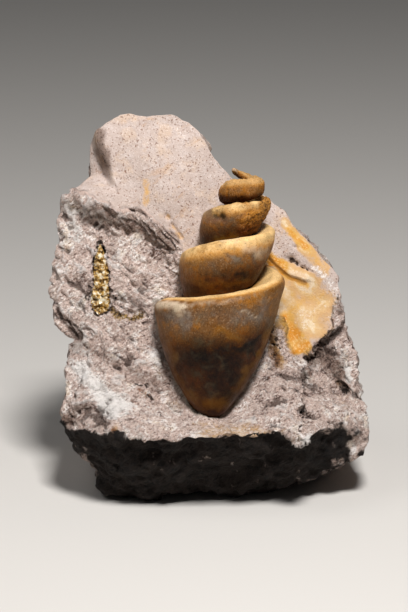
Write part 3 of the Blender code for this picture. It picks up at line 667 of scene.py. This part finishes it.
def groundMasks(rings, contact, hollow):
    # what kind of ground each point is, from 0 to 1
    x, up, out = np.moveaxis(rings, -1, 0)
    onFace = np.zeros(x.shape, bool)
    onFace[:rock["faceRings"]] = True
    spot = np.stack([x, up, 0 * x], -1)
    wander = layered(spot, rock["groundWander"])
    slab = insideGap(x, up, rock["slab"]) + wander
    smooth = ease(slab, *rock["slabEdge"]) * (out > rock["slabFrom"])
    toCast = np.full(x.shape, far)
    toCast[:rock["faceRings"]] = contact
    width, strength = rock["calmByCast"]
    calm = marks(x, up, rock["calmGround"]) + strength * np.exp(-(toCast / width) ** 2)
    pocket = np.zeros(x.shape)
    pocket[:rock["faceRings"]] = ease(hollow, *rock["pocketEdge"])

    # painted shade under the ledge: below its edge, thinner in places, mottled and fading to the
    # back
    foot = rock["foot"]
    ledge = np.array(rock["faceLines"][rock["ledge"]], float)
    level = up - np.interp(x, ledge[:, 0], ledge[:, 1]) + foot["wander"] * wander
    below = ease(level, *foot["from"])
    thin = foot["thin"] * sum(ease(x, low, high) for low, high in foot["thinIn"])
    below = below * (1 - thin + layered(spot, foot["mottles"]))
    below = np.clip(below, 0, 1) * ease(out + foot["backWander"] * wander, *foot["back"])
    depth = np.linalg.norm(rings - rings[rock["faceRings"] - 1], axis=-1) * ~onFace
    side = ease(depth + rock["sideWander"] * wander, *rock["sideFrom"])

    masks = {
        "smoothGround": smooth,
        "broken": 1 - smooth,
        "calm": np.clip(calm, 0, 1) * onFace,
        "halo": np.exp(-(toCast / rock["haloByCast"]) ** 2) * onFace,
        "pocket": pocket,
        "under": np.maximum(below * (1 - side), foot["onSides"] * below),
        "side": np.maximum(side, ease(below, *foot["side"])),
    }
    # painted shade inside the open pits
    darkness = [(*line, radius, dark) for *line, radius, deep, dark in rock["openPits"]]
    tints = rock["tints"] | {"pits": (*rock["pitShift"], darkness)}
    for name, (sideways, upwards, spots) in tints.items():
        level = marks(x + sideways * wander, up + upwards * wander, spots)
        masks[name] = np.clip(level, 0, 1) * onFace
    return masks


def rockGrid():
    # closed rings from the middle of the face over its rim, down the walls and in over the back,
    # and the masks of their ground
    rim, outward = rimPoints(rock["columns"])
    centre = np.array(rock["ringCentre"], float)
    share = np.linspace(0, 1, rock["faceRings"])[:, None, None]
    share = rock["innerRing"] + (1 - rock["innerRing"]) * share ** rock["ringSpread"]
    at = centre + (rim - centre) * share
    x, up = at[..., 0], at[..., 1]
    out = faceHeight(x, up) + fineMarks(x, up)
    out = out - rock["brokenEdge"] * share[..., 0] ** rock["edgeSharpness"]
    spot = np.stack([x, up, 0 * x], -1)
    hollow = insideGap(x, up, rock["hollow"]) + layered(spot, rock["hollowWander"])
    out = out - rock["hollowDepth"] * ease(hollow, *rock["hollowWall"])
    away, reach = castReach(x, up, out)[:2]
    contact = np.where(reach > 0, np.maximum(away - reach, 0), far)
    face = np.stack([x, up, behindCast(x, up, out)], -1)

    taper = rock["backTaper"] * ease(rim[:, 1], *rock["taperFrom"])[:, None]
    backRim = centre + (rim - centre) * (1 - taper)
    back = np.column_stack([backRim, rock["backAtFoot"] + rock["backRise"] * backRim[:, 1]])
    share = np.linspace(0, 1, rock["wallRings"] + 1)[1:, None, None]
    walls = face[-1] + (back - face[-1]) * share
    walls[..., :2] += outward * rock["wallBulge"] * np.sin(math.pi * share)
    share = 1 - np.linspace(0, 1, rock["backRings"] + 2)[1:-1, None, None]
    at = centre + (backRim - centre) * share
    out = rock["backAtFoot"] + rock["backRise"] * at[..., 1]
    out = out - rock["backSwell"] * (1 - share[..., 0] ** 2)
    rings = np.concatenate([face, walls, np.concatenate([at, out[..., None]], -1)])
    return rings, groundMasks(rings, contact, hollow)


def breakSurface(rings, masks):
    # pushed along its own direction: the block's lumps, then on broken ground chips drawn out
    # along the splinters, and on smooth ground faint waves
    block = faceToBlock(rings)
    normals = gridNormals(block)
    place = block + (*blockCentre, 0)
    turn = rock["strokes"]
    along = place[..., 0] * math.cos(turn) + place[..., 2] * math.sin(turn)
    across = place[..., 2] * math.cos(turn) - place[..., 0] * math.sin(turn)
    drawn = np.stack([along / rock["strokeLength"], place[..., 1], across], -1)
    drawn = drawn + np.stack([layered(place, rock["warp"], k) for k in range(3)], -1)
    faceRelief = layered(drawn, rock["faceChips"], kind=chips, step=10)
    faceRelief += steppedDown(layered(drawn, rock["flakes"]), rock["flakeStep"])
    sideRelief = layered(place, rock["sideChips"], kind=chips, step=10)
    waves = layered(place, rock["smoothWaves"])
    rough = np.prod([1 + share * masks[name] for name, share in rock["rougher"].items()], axis=0)
    side = masks["side"]
    relief = faceRelief * (1 - side) * rough
    shape = relief + rock["shadedSides"] * sideRelief * side
    relief = relief + sideRelief * side + waves * (1 - side) * (1 - rough)
    # painted shade in the relief's low creases, and painted highlight on its crests
    for name in ("creaseShade", "crestHighlight"):
        factor, start = rock[name]
        masks[name] = np.clip(factor * shape + start, 0, 1)
    # the outline keeps its own shape, so the lumps are weak for some rows beside it
    rimRows = (np.arange(len(rings)) - rock["faceRings"]) / rock["rimRows"]
    offRim = (1 - rock["lumpsOffRim"] * np.exp(-rimRows ** 2))[:, None]
    lumps = layered(place, rock["lumps"]) * offRim
    moved = block + normals * (lumps + relief)[..., None]
    # the highest few millimetres are drawn down into the box
    low, high = [np.array(corner) / mm for corner in cadBox]
    low[2] = -far
    top = high[2] - rock["topReach"]
    z = moved[..., 2]
    share = min(1, (high[2] - rock["topGap"] - top) / (z.max() - top))
    moved[..., 2] = np.where(z > top, top + (z - top) * share, z)
    return np.clip(moved, low + rock["boxGap"], high - rock["boxGap"])


def makeRock(material):
    # the rings as one closed skin, cut flat where it stands
    rings, masks = rockGrid()
    block = breakSurface(rings, masks)
    rows, columns = block.shape[:2]
    made = meshFrom("limestone_block", block.reshape(-1, 3),
                    ringFaces(rows, columns).tolist() + endCaps(rows, columns), material,
                    {name: masks[name] for name in rock["masks"]})
    tidyMesh(made, 0)
    return made


def castGrid():
    # the section carried along the spiral, with rows at even steps from the core to the inner
    # edge of the top; each point's height in the section, and how far under the rim it is as a
    # share of its whorl's radius
    step = 1 / cast["columnsPerTurn"]
    turns = np.arange(cast["firstTurn"], cast["lastTurn"] + step / 2, step)
    section = whorlSection(turns)
    steps = np.hypot(*np.diff(section, axis=0).transpose(1, 0, 2)).mean(1)
    places = np.concatenate([[0], np.cumsum(steps)])
    rows = np.linspace(0, places[-1], cast["rows"])
    knots = np.column_stack([places, section.reshape(len(places), -1)])
    both = smoothThrough(knots, rows).reshape(len(rows), 2, len(turns))
    radius, height = np.moveaxis(both, 1, 0)
    grid = spiralPoints(np.broadcast_to(turns, radius.shape), radius, height)
    rise = np.broadcast_to((rows / places[-1])[:, None], radius.shape)
    along = np.linalg.norm(np.diff(grid, axis=0), axis=-1)
    along = np.concatenate([0 * along[:1], np.cumsum(along, 0)])
    belowRim = (along[np.argmin(abs(rows - places[-2]))] - along) / whorlRadius(turns)
    return turns, grid, rise, radius, belowRim


def castSkin(points, normals, turn, keep):
    # pushed along its own direction: slow waves, a gritty skin on the upper whorls, and dents
    place = faceToBlock(points)
    waves = layered(place, cast["waves"])
    grit = layered(place, cast["grit"])
    x, up, out = np.moveaxis(points, -1, 0)
    strength, left, right = cast["grittyRight"]
    patches = layered(place, cast["grittyPatches"]) + strength * ease(x, left, right)
    patches = patches + ease(turn, *cast["grittyTop"])
    gritty = ease(turn, *cast["gritty"]) * ease(patches, *cast["grittyEdge"])
    dents = ease(out, *cast["front"]) * marks(x, up, cast["dents"])
    relief = waves + grit * gritty - dents
    return place + normals * (relief * keep)[..., None], gritty


def strandTube():
    # a round section carried along the last, thin turn and closed to a blunt tip: its thickness
    # falls as sqrt(1 - closing * share^bluntness)
    count, sides = cast["strandColumns"], cast["strandSides"]
    turns = np.linspace(cast["strand"][0][0], cast["strand"][-1][0], count)
    distance, height, thickness = smoothThrough(cast["strand"], turns).T
    bluntness, closing = cast["strandTip"]
    thickness = thickness * np.sqrt(1 - closing * np.linspace(0, 1, count) ** bluntness)
    around = np.linspace(0, 2 * math.pi, sides, endpoint=False)
    radius = distance[:, None] + thickness[:, None] * np.cos(around)
    level = height[:, None] + thickness[:, None] * cast["strandHeight"] * np.sin(around)
    block = faceToBlock(spiralPoints(np.broadcast_to(turns[:, None], radius.shape), radius, level))
    inward = unit(block.mean(1, keepdims=True) - block)
    grit = layered(block, cast["grit"], 10)
    block = block + inward * (grit * ease(thickness, *cast["strandGrit"])[:, None])[..., None]
    rise = 0.5 + 0.5 * np.broadcast_to(np.sin(around), radius.shape)
    paleTip = np.repeat(ease(np.linspace(0, 1, count), *cast["paleTip"]), sides)
    faces = ringFaces(count, sides).tolist() + endCaps(count, sides)
    return block.reshape(-1, 3), faces, rise.ravel(), paleTip


def castTints(grid):
    # colours in their places on the front, moved by noise, and clouds of them on the far side
    x, up, out = np.moveaxis(grid, -1, 0)
    wander = [layered(grid, cast["tintWander"], k, step=5) for k in range(2)]
    front, back = ease(out, *cast["tintsFrom"]), ease(out, *cast["tintsFrom"][::-1])
    tints = {}
    for k, (name, spots) in enumerate(cast["tints"].items()):
        placed = np.clip(marks(x + wander[0], up + wander[1], spots), 0, 1)
        clouds = ease(layered(grid, cast["backTints"], k), *cast["backTintEdge"])
        tints[name] = placed * front + cast["backTintStrength"] * clouds * back
    return tints


def makeCast(material):
    # the skin; a row of points round the spiral's middle that closes its top, where there is no
    # whorl above it; a face over each end of the spiral; and the strand
    turns, grid, rise, radius, belowRim = castGrid()
    rows, count = grid.shape[:2]
    block = faceToBlock(grid)
    normals = unit(np.cross(np.gradient(block, axis=1), np.gradient(block, axis=0)))
    inside = faceToBlock(spiralPoints(turns, 0 * turns, rimHeight(turns) - cast["inside"]))
    normals *= np.sign((normals * (block - inside)).sum(-1))[..., None]
    calm = cast["calmAt"]
    keep = ease(radius, *calm["radius"]) * ease(rise, *calm["low"]) * ease(rise, *calm["high"])
    skin, gritty = castSkin(grid, normals, np.broadcast_to(turns, rise.shape), keep)
    perTurn = cast["columnsPerTurn"]
    index = np.arange(rows * count).reshape(rows, count)
    tail = turns[count - perTurn:]
    tip = faceToBlock(spiralPoints(tail, cast["tip"] * whorlRadius(tail), rampHeight(tail, 0)))
    middle = np.concatenate([index[0, perTurn:], rows * count + np.arange(perTurn)])
    quads = np.stack([index[:-1, :-1], index[:-1, 1:], index[1:, 1:], index[1:, :-1]], -1)
    tops = np.stack([index[-1, :-1], index[-1, 1:], middle[1:], middle[:-1]], -1)
    faces = np.concatenate([quads.reshape(-1, 4), tops]).tolist()
    faces.append(index[0, :perTurn + 1].tolist() + index[1:, 0][::-1].tolist())
    faces.append(middle[-perTurn - 1:][::-1].tolist() + index[1:, -1].tolist())
    strand, strandFaces, strandRise, paleTip = strandTube()
    first = rows * count + perTurn
    faces += [[corner + first for corner in face] for face in strandFaces]

    def overAll(onSkin, onTip, onStrand):
        # one mask's values for the skin, the row inside it and the strand, in that order
        return np.concatenate([onSkin.ravel(), np.full(perTurn, onTip),
                               np.broadcast_to(onStrand, len(strand))])

    # painted highlight along each whorl's top and the strand's upper side, over golden colour
    # there; painted shade towards each whorl's foot and under the strand
    width, wider = cast["rimBand"]
    width = width + wider * ease(turns, *cast["rimWidens"])
    masks = {
        "rim": overAll(ease(belowRim, width, 0), 1, ease(strandRise, *cast["strandRim"])),
        "low": overAll(ease(belowRim, *cast["lowBand"]), 0, ease(strandRise, *cast["strandLow"])),
        "gritty": overAll(gritty, 1, cast["strandRoughness"]),
    }
    for name, values in castTints(grid).items():
        masks[name] = overAll(values, 0, paleTip if name == "cream" else 0)
    made = meshFrom("snail_steinkern", np.concatenate([skin.reshape(-1, 3), tip, strand]), faces,
                    material, {name: masks[name] for name in cast["masks"]})
    tidyMesh(made)
    return made


# the crystals in the hollow, on a bed that follows the hollow's floor
crust = {
    "middle": (-35.3, 65.7, 16.2), "slopes": (0.147, -0.207), "depth": 3.6,
    "bed": (0.3, 0.8), "bedBumps": (230, (0.9, 0.35)), "bedInner": 0.05, "sides": 72, "rings": 12,
    "inset": 0.3,
    "tries": 4000, "count": 170, "width": (0.45, 1.35), "fewWide": 1.6, "length": 1.45,
    "zigzag": 0.18, "tilt": 42, "stand": (0.4, 0.5),
    "seed": 7,
}


def hollowFloor(x, up):
    # a plane: the floor's level in the hollow's middle, and a slope in x and in up
    across, along, mouth = crust["middle"]
    slopeX, slopeUp = crust["slopes"]
    return mouth - crust["depth"] + slopeX * (x - across) + slopeUp * (up - along)


def crystalForms(places, widths, tilts, twists):
    # each crystal is six-sided and comes to a point at both ends, with side corners that zigzag
    side = np.arange(6) * math.pi / 3
    ring = np.stack([np.cos(side), np.sin(side), crust["zigzag"] * (-1.0) ** np.arange(6)], -1)
    unit = np.vstack([[0, 0, crust["length"]], [0, 0, -crust["length"]], ring])
    points = unit * widths[:, None, None]
    for angles, first, second in ((twists, 0, 1), (tilts[:, 0], 0, 2), (tilts[:, 1], 1, 2)):
        cosine, sine = np.cos(angles)[:, None], np.sin(angles)[:, None]
        one, two = points[..., first].copy(), points[..., second].copy()
        points[..., first] = one * cosine - two * sine
        points[..., second] = one * sine + two * cosine
    here = 2 + np.arange(6)
    beside = 2 + (np.arange(6) + 1) % 6
    faces = np.vstack([np.column_stack([0 * here, here, beside]),
                       np.column_stack([0 * here + 1, beside, here])])
    faces = faces + len(unit) * np.arange(len(widths))[:, None, None]
    return (points + places[:, None, :]).reshape(-1, 3), faces.reshape(-1, 3)


def crystalBed():
    # rings from the middle of the hollow to its rim on top, and back again below
    sides, rings = crust["sides"], crust["rings"]
    edge = evenSteps(rock["hollow"], sides)
    middle = (edge.max(0) + edge.min(0)) / 2
    half = (edge.max(0) - edge.min(0)) / 2
    edge = middle + (edge - middle) * (1 - crust["inset"] / half)
    share = np.linspace(crust["bedInner"], 1, rings)
    bed = middle + (edge - middle) * np.concatenate([share, share[::-1]])[:, None, None]
    low, high = crust["bed"]
    onTop = (np.arange(2 * rings) < rings)[:, None]
    spot = np.concatenate([bed, 0 * bed[..., :1]], -1)
    lift = np.where(onTop, high + layered(spot, crust["bedBumps"]), low)
    bed = np.concatenate([bed, (hollowFloor(bed[..., 0], bed[..., 1]) + lift)[..., None]], -1)
    return bed.reshape(-1, 3), ringFaces(2 * rings, sides).tolist() + endCaps(2 * rings, sides)


def makeCrust(material):
    # crystals at random places in the hollow, no wider than their distance to its rim
    rng = np.random.default_rng(crust["seed"])
    box = np.array(rock["hollow"], float)
    tries = rng.uniform(box.min(0), box.max(0), (crust["tries"], 2))
    room = insideGap(tries[:, 0], tries[:, 1], rock["hollow"])
    fits = np.flatnonzero(room > crust["inset"])[:crust["count"]]
    kept = tries[fits]
    low, high = crust["width"]
    widths = low + (high - low) * rng.random(len(kept)) ** crust["fewWide"]
    widths = np.minimum(widths, room[fits])
    tilts = np.radians(crust["tilt"]) * rng.uniform(-1, 1, (len(kept), 2))
    twists = rng.uniform(0, math.pi, len(kept))
    byWidth, byChance = crust["stand"]
    level = hollowFloor(kept[:, 0], kept[:, 1]) + crust["bed"][1]
    level = level + byWidth * widths + byChance * rng.random(len(kept))
    points, faces = crystalForms(np.column_stack([kept, level]), widths, tilts, twists)
    bed, bedFaces = crystalBed()
    faces = faces.tolist() + [[corner + len(points) for corner in face] for face in bedFaces]
    made = meshFrom("calcite_crystals", faceToBlock(np.vstack([points, bed])), faces, material)
    made.data.shade_flat()
    tidyMesh(made)
    return made


# limestone, broken with a hammer and weathered: matt and grainy, pinkish grey where it broke
# rough, cream and even on the slab, rusty where iron seeped along the shell's mould
# it also has painted shade under the ledge and in creases, pits and hollows, and painted highlight
stone = {
    "patterns": {                             # (mm, detail, roughness, distortion, drawn out)
        "splinters": (0.8, 5, 0.82, 0.4, True), "grains": (0.55, 3, 0.65, 0, False),
        "grit": (0.8, 5, 0.8, 0.3, False), "patches": (6, 5, 0.62, 0.4, False),
        "drift": (6, 4, 0.6, 0, False), "freckles": (0.75, 2, 0.6, 0, False),
        "specks": (0.6, 2, 0.5, 0, False), "blotches": (2.4, 5, 0.68, 0.3, False),
        "smears": (3, 4, 0.6, 0.5, True), "chips": (1.5, 3, 0.55, 0.6, True)},
    "stretch": (0.38, 1, 1),
    "base": "d3b9ac",
    "layers": [                               # (colour, strength, a + b * share, starts, full at)
        ("bfa59a", 0.7, "patches", None, 0, 0.48, 0.38),      # greyer patches
        ("fdf4ee", 0.95, "broken", "clusters", 1, 2.15, 2.26),  # fresh white splinters
        ("54392c", 0.95, "broken", "clusters", -1, 0.04, 0.14),  # the shaded gaps between them
        ("f2d3ac", 0.45, "broken", "drift", 1, 1.56, 1.70),   # a warm cast here and there
        # two finer pairs: pale flecks, and painted shade in the fine cracks between them
        ("fdf2ee", 0.6, "broken", "grit", 1, 1.54, 1.62),
        ("5c4339", 0.75, "broken", "grit", -1, 0.57, 0.62),
        ("fdf0e6", 0.85, "broken", "splinters", 1, 1.545, 1.60),
        ("5a4035", 0.85, "broken", "splinters", -1, 0.555, 0.61),
        ("bba89e", 1.0, "smoothGround", None, 0, 0.3, 0.7),   # the slab's even cream
        ("d2b08c", 0.3, "smoothGround", "drift", 1, 1.50, 1.66),
        ("dcd0cb", 0.25, "smoothGround", "blotches", 1, 1.48, 1.62),
        ("b98e66", 0.35, "smoothGround", "smears", 1, 1.58, 1.70),
        ("f6ece6", 0.3, "smoothGround", "grains", 1, 1.54, 1.68),
        ("74523e", 0.75, "smoothGround", "freckles", -1, 0.60, 0.66),
        ("7d4c2d", 0.8, "specks", None, 0, 0.66, 0.72),       # rusty pores, and a few open
        ("4d3c31", 0.7, "specks", None, 0, 0.33, 0.27),
        ("cba272", 1.0, "stain", "blotches", 0.8, 0.60, 0.95),  # iron stain: tan, then ochre
        ("d8b988", 0.7, "stain", "drift", 0.8, 0.95, 1.25),
        ("e9ddca", 0.6, "stain", "grit", 1.5, 1.50, 1.75),
        ("c08a50", 0.5, "stain", "splinters", 1.5, 1.50, 1.75),
        ("e5d4b8", 0.5, "stain", "patches", 2.0, 1.75, 2.00),
        ("d09d48", 0.9, "ochre", "blotches", 1.4, 0.85, 1.60),
        ("c8801e", 0.9, "ochre", "smears", 1.8, 1.50, 2.00),
        ("eccf9a", 0.45, "ochre", "grit", 1.8, 1.88, 2.05),
        # chalky white, and painted highlight on the lit lower left
        ("f6efe9", 0.9, "chalk", "grit", 1.6, 1.25, 1.55),
        # greyer ground along the cast: painted contact shade, and the matrix's own grey-green
        # collar
        ("968b78", 0.6, "halo", "blotches", 0.8, 0.9, 1.4),
        ("8a5730", 0.9, "rust", "grit", 1.5, 1.55, 1.75),
        ("a8742e", 0.8, "groove", "grit", 0.6, 0.8, 1.1),     # orange-brown in the mould's groove under its crest
        ("8b7b71", 0.45, "side", "smears", 0.6, 0.8, 1.3),    # older, duller sides
        ("f3ede8", 0.5, "crestHighlight", "grains", 0.5, 0.9, 1.3),   # painted highlight on the relief's raised crests
        ("b08a40", 0.9, "tail", "grains", 1.2, 1.35, 1.60)],  # grains of spar in the hollow's tail
    "shades": [                               # these darken what is under them instead
        ("a0948c", 0.9, "dirt", "blotches", 1.0, 0.80, 1.40),  # painted shade in hollows and under steps, with some dirt
        ("5c4f48", 0.9, "dirt", "grit", -1.5, 0.22, 0.36),
        ("6a4c3a", 0.9, "rust", "grit", -1.5, 0.15, 0.28),
        # painted shade in the relief's low creases
        ("5a4c44", 0.8, "creaseShade", "grains", 0.5, 0.6, 1.25),
        ("352f2b", 1.0, "under", "blotches", 1.2, 0.90, 1.25),  # painted shade under the ledge, on a darker weathered crust
        ("6a6059", 0.9, "under", "splinters", -1, 0.42, 0.60),
        # painted shade inside the open pits
        ("44372f", 0.95, "pits", "grit", -1.2, -0.05, 0.15),
        ("4a3826", 0.9, "tail", "grit", -1.5, 0.12, 0.30),
        # painted shade in the hollow, round the crystals
        ("3a2c20", 1.0, "pocket", "splinters", -1, 0.35, 0.6)],
    "clustering": 1.2,                        # how far the splinters' shades keep to the patches
    "relief": {"grit": 0.4, "splinters": 0.35, "grains": 0.15}, "bumpDepth": 2,
    "roughness": {"From Min": 0.3, "From Max": 0.7, "To Min": 0.78, "To Max": 0.95},
}


def limestoneMaterial():
    made, tree = newMaterial("weathered_limestone")
    field = makeFields(tree, rock["masks"], stone["patterns"], -rock["strokes"], stone["stretch"])
    field["clusters"] = add(tree, "Math", {0: field["patches"], 1: stone["clustering"],
                                           2: field["splinters"]}, operation="MULTIPLY_ADD")
    colour = layColours(tree, fromHex(stone["base"]), field, stone["layers"])
    colour = layColours(tree, colour, field, stone["shades"], "MULTIPLY")
    # relief finer than the mesh: (chips + some grit and splinters) * broken + some grains
    height = field["chips"]
    for name in ("grit", "splinters", "grains"):
        if name == "grains":
            height = add(tree, "Math", {0: height, 1: field["broken"]}, operation="MULTIPLY")
        height = add(tree, "Math", {0: field[name], 1: stone["relief"][name], 2: height},
                     operation="MULTIPLY_ADD")
    bump = add(tree, "Bump", {"Height": height, "Strength": 1, "Distance": stone["bumpDepth"] * mm})
    roughness = add(tree, "MapRange", {"Value": field["grains"], **stone["roughness"]})
    shader = add(tree, "BsdfPrincipled", {"Base Color": colour, "Normal": bump, "IOR": 1.5,
                                          "Roughness": roughness, "Specular IOR Level": 0.3})
    add(tree, "OutputMaterial", {"Surface": shader})
    return made


# ironstone, the hardened mud that filled the shell: fine, worn smooth by water and handling, so
# it has a low waxy gloss; brown and ochre with grey clouds. Painted shade darkens each whorl
# towards its foot, and painted highlight and glow lie along its rim and edges
fill = {
    "patterns": {                             # (mm, detail, roughness, distortion, drawn down)
        "clouds": (7, 7, 0.66, 0.5, False), "fleck": (1.6, 5, 0.7, 0.4, False),
        "veil": (3.6, 6, 0.66, 0.3, False), "grain": (0.5, 3, 0.6, 0, False),
        "specks": (0.7, 3, 0.7, 0, False), "streaks": (0.9, 4, 0.65, 0.2, True)},
    "stretch": (1, 1, 0.3),
    "clouds": [
        (0.3, "4e3214"), (0.42, "764a1a"), (0.5, "7a5530"), (0.58, "99601a"), (0.68, "9c7852")],
    "layers": [                               # (colour, strength, a + b * share, starts, full at)
        ("d0944a", 1.0, "rim", "veil", 0.8, 0.50, 1.05),      # painted highlight at the rim, over golden colour
        ("f0c88c", 0.9, "rim", "fleck", 0.8, 0.80, 1.30),
        # partly a painted glow along the body whorl's edges, partly its own orange
        ("a86c20", 0.9, "orange", "veil", 1.2, 0.70, 1.60),
        ("6b4c3f", 0.8, "lilac", "veil", 1.2, 0.70, 1.60),
        ("5f5249", 0.8, "grey", "veil", 1.2, 0.60, 1.60),
        ("a0948c", 0.3, "grey", "fleck", 1.8, 1.45, 2.10),
        # painted highlight along the rims over cream colour, and the strand's pale tip
        ("e2cbb0", 0.9, "cream", "veil", 1.2, 0.70, 1.60),
        ("a0610e", 0.7, "gritty", None, 0, 0.0, 1.0),
        ("cc8a36", 0.7, "gritty", "fleck", 1.0, 1.05, 1.55),
        ("4f2c0c", 0.7, "gritty", "specks", -1.0, 0.46, 0.60),
        ("c9aa86", 0.3, "grain", None, 0, 0.56, 0.68),        # fine pale rubs
        ("c9aa86", 0.15, "streaks", None, 0, 0.60, 0.74)],
    "shades": [                               # these darken what is under them instead
        ("a88e3c", 1.0, "low", "clouds", 1.0, 0.45, 1.35),    # painted shade towards each whorl's foot, which is also browner
        ("b49c52", 0.8, "low", "fleck", 1.2, 1.0, 1.8),
        # painted shade in the dents and the crack and on the body whorl's lower middle, which is
        # also darker brown
        ("868454", 1.0, "dark", "veil", 1.2, 0.30, 1.60),
        ("787050", 0.7, "dark", "fleck", 1.6, 1.2, 2.0),
        ("8a7864", 0.5, "grain", None, 0, 0.44, 0.34),        # fine dark wrinkles
        ("9a8870", 0.4, "streaks", None, 0, 0.44, 0.30),
        ("8a7250", 0.5, "specks", None, 0, 0.40, 0.28)],
    "glowAndRubs": [                                 # and these lie over all of it: a painted orange glow along the edges, and two veils
        ("7c540e", 0.40, "orange", "veil", 1.2, 0.80, 1.70),
        ("7d6f54", 0.14, "veil", None, 0, 0.46, 0.78),
        ("b5a496", 0.12, "grey", "veil", 1.8, 1.45, 2.10)],
    "bumpDepth": 0.3, "smoothBump": 1, "grittyBump": 9,
    "roughness": {"From Min": 0.35, "From Max": 0.65, "To Min": 0.34, "To Max": 0.58},
}


def ironstoneMaterial():
    made, tree = newMaterial("worn_ironstone")
    field = makeFields(tree, cast["masks"], fill["patterns"], 0, fill["stretch"])
    colour = add(tree, "ValToRGB", {"Fac": field["clouds"]}, stops=fill["clouds"])
    colour = layColours(tree, colour, field, fill["layers"])
    colour = layColours(tree, colour, field, fill["shades"], "MULTIPLY")
    colour = layColours(tree, colour, field, fill["glowAndRubs"])
    coarse = add(tree, "Math", {0: field["gritty"], 1: fill["grittyBump"], 2: fill["smoothBump"]},
                 operation="MULTIPLY_ADD")
    height = add(tree, "Math", {0: field["grain"], 1: coarse}, operation="MULTIPLY")
    bump = add(tree, "Bump", {"Height": height, "Strength": 0.5,
                              "Distance": fill["bumpDepth"] * mm})
    roughness = add(tree, "MapRange", {"Value": field["fleck"], **fill["roughness"]})
    shader = add(tree, "BsdfPrincipled", {"Base Color": colour, "Normal": bump, "IOR": 1.5,
                                          "Roughness": roughness, "Specular IOR Level": 0.16})
    add(tree, "OutputMaterial", {"Surface": shader})
    return made


# calcite, grown as honey-coloured crystals: half clear, with flat bright faces
spar = {
    "patterns": {"cloud": (1.4, 3, 0.5, 0, False)},
    "colours": [(0.38, "6b4a1e"), (0.5, "cfa356"), (0.62, "f6ecd0")],
}


def calciteMaterial():
    made, tree = newMaterial("honey_calcite")
    cloud = makeFields(tree, (), spar["patterns"])["cloud"]
    colour = add(tree, "ValToRGB", {"Fac": cloud}, stops=spar["colours"])
    roughness = add(tree, "MapRange", {"Value": cloud, "To Min": 0.08, "To Max": 0.28})
    shader = add(tree, "BsdfPrincipled", {"Base Color": colour, "Roughness": roughness, "IOR": 1.6,
                                          "Transmission Weight": 0.25})
    add(tree, "OutputMaterial", {"Surface": shader})
    return made


for make, material, node, slot in (
        (makeRock, limestoneMaterial, "limestone_matrix", "limestone"),
        (makeCast, ironstoneMaterial, "snail_cast", "iron_stained_cast"),
        (makeCrust, calciteMaterial, "calcite_crust", "calcite")):
    piece = make(material())
    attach(piece, "root")
    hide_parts(node)
    print(piece.name, len(piece.data.polygons), "faces")

# the floor, the lights and the camera, in metres except for the target and a pixel's size
studio = {
    "floor": "cfcac4", "floorSize": 8,
    "lights": {
        "key": {"place": (0.09, -0.40, 0.72), "size": 0.16, "power": 8.3, "aim": (0, -0.01, 0.06)},
        "fill": {"place": (-0.45, -0.2, 0.75), "size": 0.5, "power": 1.3, "aim": (0, 0, 0.05)}},
    "world": ("dfe3e8", 0.05),
    "target": (-1.9, 58.1, 20), "distance": 0.88, "elevation": math.radians(16), "pixel": 0.32,
    "halfFrame": 306,
}


def pointAt(made, place, aim):
    # puts a light or a camera at its place, looking at its aim
    made.location = place
    made.rotation_mode = "QUATERNION"
    made.rotation_quaternion = (Vector(aim) - Vector(place)).to_track_quat("-Z", "Y")
    bpy.context.scene.collection.objects.link(made)


def makeStudio():
    # the lens is set so that the frame's half height is halfFrame pixels of that size
    made, tree = newMaterial("matt_painted_board")
    shader = add(tree, "BsdfPrincipled", {"Base Color": fromHex(studio["floor"]), "Roughness": 0.9})
    add(tree, "OutputMaterial", {"Surface": shader})
    half = studio["floorSize"] / 2 / mm
    corners = [(-half, -half, 0), (half, -half, 0), (half, half, 0), (-half, half, 0)]
    meshFrom("floor", corners, [(0, 1, 2, 3)], made)
    for name, setting in studio["lights"].items():
        light = bpy.data.lights.new(name, "AREA")
        light.size, light.energy = setting["size"], setting["power"]
        pointAt(bpy.data.objects.new(name, light), setting["place"], setting["aim"])
    world = bpy.data.worlds.new("studio")
    world.use_nodes = True
    background = world.node_tree.nodes["Background"].inputs
    background["Color"].default_value = fromHex(studio["world"][0])
    background["Strength"].default_value = studio["world"][1]
    bpy.context.scene.world = world
    camera = bpy.data.cameras.new("camera")
    camera.sensor_width = 36
    target = faceToBlock(studio["target"]) * mm
    back = np.array([0, -math.cos(studio["elevation"]), math.sin(studio["elevation"])])
    halfHeight = studio["halfFrame"] * studio["pixel"] * mm
    camera.lens = camera.sensor_width / 2 / (halfHeight / studio["distance"])
    camera.clip_end = 20
    made = bpy.data.objects.new("camera", camera)
    pointAt(made, target + back * studio["distance"], target)
    bpy.context.scene.camera = made


makeStudio()
bpy.context.scene.view_settings.view_transform = "Standard"
print("studio ready")
